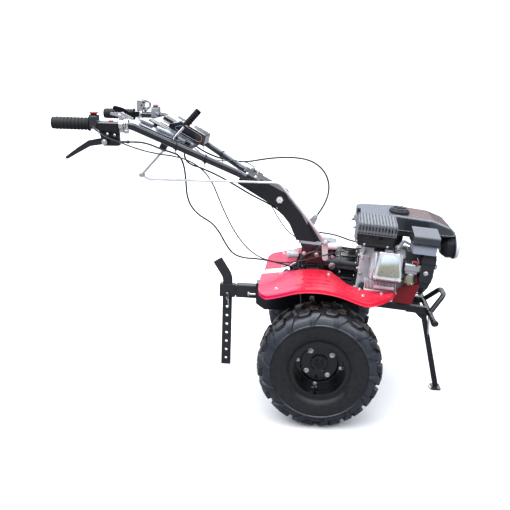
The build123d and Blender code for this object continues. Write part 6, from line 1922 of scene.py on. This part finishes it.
# ---- rear hitch
# the spring clip's wire from the stake pin's end: (ahead, left, up), in millimetres
CLIP = (
    (-2, 3, 9), (2, 2.4, 12), (7, 2.4, 9), (6, 2.4, 2), (-1, 2.4, -3), (-3, 2.4, -12), (2, 2.4, -22),
    (7, 2.4, -18), (4, 2.4, -8), (7, 2.4, 0),
)


class TRACTOR_OT_hitch(TractorStep, bpy.types.Operator):
    """Clip and chain at the stake pin, the drawbar's bolt"""

    bl_idname = "tractor.hitch"
    bl_label = "Hitch fittings"

    def link(self, centre, turn):
        """One link of the chain: a ring of wire, a little twisted."""
        spin = Matrix.Rotation(math.radians(turn), 3, "Z")
        ring = []
        for step in range(10):
            angle = math.tau * step / 10
            spot = Vector((2.1 * math.cos(angle), 0.4 * math.sin(angle * 2), 3.9 * math.sin(angle)))
            ring.append(centre + spin @ spot * MM)
        return rod_along("chain_link", ring, 0.0011, closed=True)

    def execute(self, context):
        tip = box_middle("stake_pin")
        tip.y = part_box("stake_pin")[0].y
        wires = [rod_along("pin_clip", [tip + Vector(step) * MM for step in CLIP], 0.0019)]
        for n in range(6):
            centre = tip + Vector((6 + 1.5 * math.sin(n * 2.1), 1.6, -22 - 5.4 * n)) * MM
            wires.append(self.link(centre, 90 * (n % 2) + 12))
        fit_all("pin_chain", wires, *ZINC)
        shank = (0, -2), (5, -2), (5, 30), (4.2, 31), (0, 31)
        head = (0, -3.5), (9, -3.5), (9.8, -2), (9.8, 2), (9, 3.4), (0, 3.4)
        fit_all("drawbar_bolt", (
            lathe("hitch_bolt", shank, frame_at(from_axle(-304, -27, 413), UP, FORWARD), 20),
            lathe("hitch_bolt_head", head, frame_at(from_axle(-303, -27, 413), UP, FORWARD), 6),
        ), *ZINC)
        return {"FINISHED"}


# ---- front fittings
class TRACTOR_OT_front(TractorStep, bpy.types.Operator):
    """Stand foot and tube ends at the front"""

    bl_idname = "tractor.front"
    bl_label = "Front fittings"

    def execute(self, context):
        low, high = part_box("stand_leg")
        sole = frame_at(Vector((high.x - 0.024, 0, low.z + 0.0004)), FORWARD, UP)
        fit(pad("stand_foot", 46, 26, 5, 4, sole, 1.2, 1.0), "zinc_plate", "black_paint", "stand")
        middle = box_middle("bumper_bar").x
        section = (0, -0.4), (7.6, -0.4), (8.2, 1.4), (10.6, 1.4), (11.9, 0.2), (11.9, -6), (0, -6)
        ends = []
        for side, corner in zip((-1, 1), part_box("bumper_bar")):
            face = frame_at(Vector((middle, corner.y, 0.374)), FORWARD, LEFT * side)
            ends.append(lathe("tube_end", section, face, 32))
        fit_all("tube_ends", ends, "frame_paint", "black_paint")
        return {"FINISHED"}


# ---- panel and registration
STEPS = (
    TRACTOR_OT_stage, TRACTOR_OT_cables, TRACTOR_OT_finishes, TRACTOR_OT_tyres, TRACTOR_OT_wheel_fittings,
    TRACTOR_OT_stand_spring, TRACTOR_OT_fenders, TRACTOR_OT_exhaust, TRACTOR_OT_engine_fittings,
    TRACTOR_OT_lamp, TRACTOR_OT_gearbox_fittings, TRACTOR_OT_handlebar_fittings, TRACTOR_OT_deck,
    TRACTOR_OT_controls, TRACTOR_OT_hitch, TRACTOR_OT_front,
)


class TRACTOR_PT_panel(bpy.types.Panel):
    """Settings and steps of the hand tractor"""

    bl_idname = "TRACTOR_PT_panel"
    bl_label = "Hand Tractor"
    bl_space_type = "VIEW_3D"
    bl_region_type = "UI"
    bl_category = "Hand Tractor"

    def draw(self, context):
        scene = context.scene
        for group in (scene.tractor_paint, scene.tractor_tyre, scene.tractor_stage):
            box = self.layout.box()
            for name in group.bl_rna.properties.keys():
                if name not in {"rna_type", "name"}:
                    box.prop(group, name)
        for step in STEPS:
            self.layout.operator(step.bl_idname)


GROUPS = {"tractor_paint": TractorPaint, "tractor_tyre": TractorTyre, "tractor_stage": TractorStage}
CLASSES = (*GROUPS.values(), *STEPS, TRACTOR_PT_panel)


def register():
    """Registers the classes and the settings they read."""
    for item in CLASSES:
        bpy.utils.register_class(item)
    for name, group in GROUPS.items():
        setattr(bpy.types.Scene, name, bpy.props.PointerProperty(type=group))


def unregister():
    """Takes the settings and the classes away again."""
    for name in GROUPS:
        delattr(bpy.types.Scene, name)
    for item in reversed(CLASSES):
        bpy.utils.unregister_class(item)


def main():
    """Registers the classes and runs every step in order."""
    register()
    bpy.ops.tractor.stage()
    bpy.ops.tractor.cables()
    bpy.ops.tractor.finishes()
    bpy.ops.tractor.tyres()
    bpy.ops.tractor.wheel_fittings()
    bpy.ops.tractor.stand_spring()
    bpy.ops.tractor.fenders()
    bpy.ops.tractor.exhaust()
    bpy.ops.tractor.engine_fittings()
    bpy.ops.tractor.lamp()
    bpy.ops.tractor.gearbox_fittings()
    bpy.ops.tractor.handlebar_fittings()
    bpy.ops.tractor.deck()
    bpy.ops.tractor.controls()
    bpy.ops.tractor.hitch()
    bpy.ops.tractor.front()
    deselect()


if __name__ == "__main__":
    main()
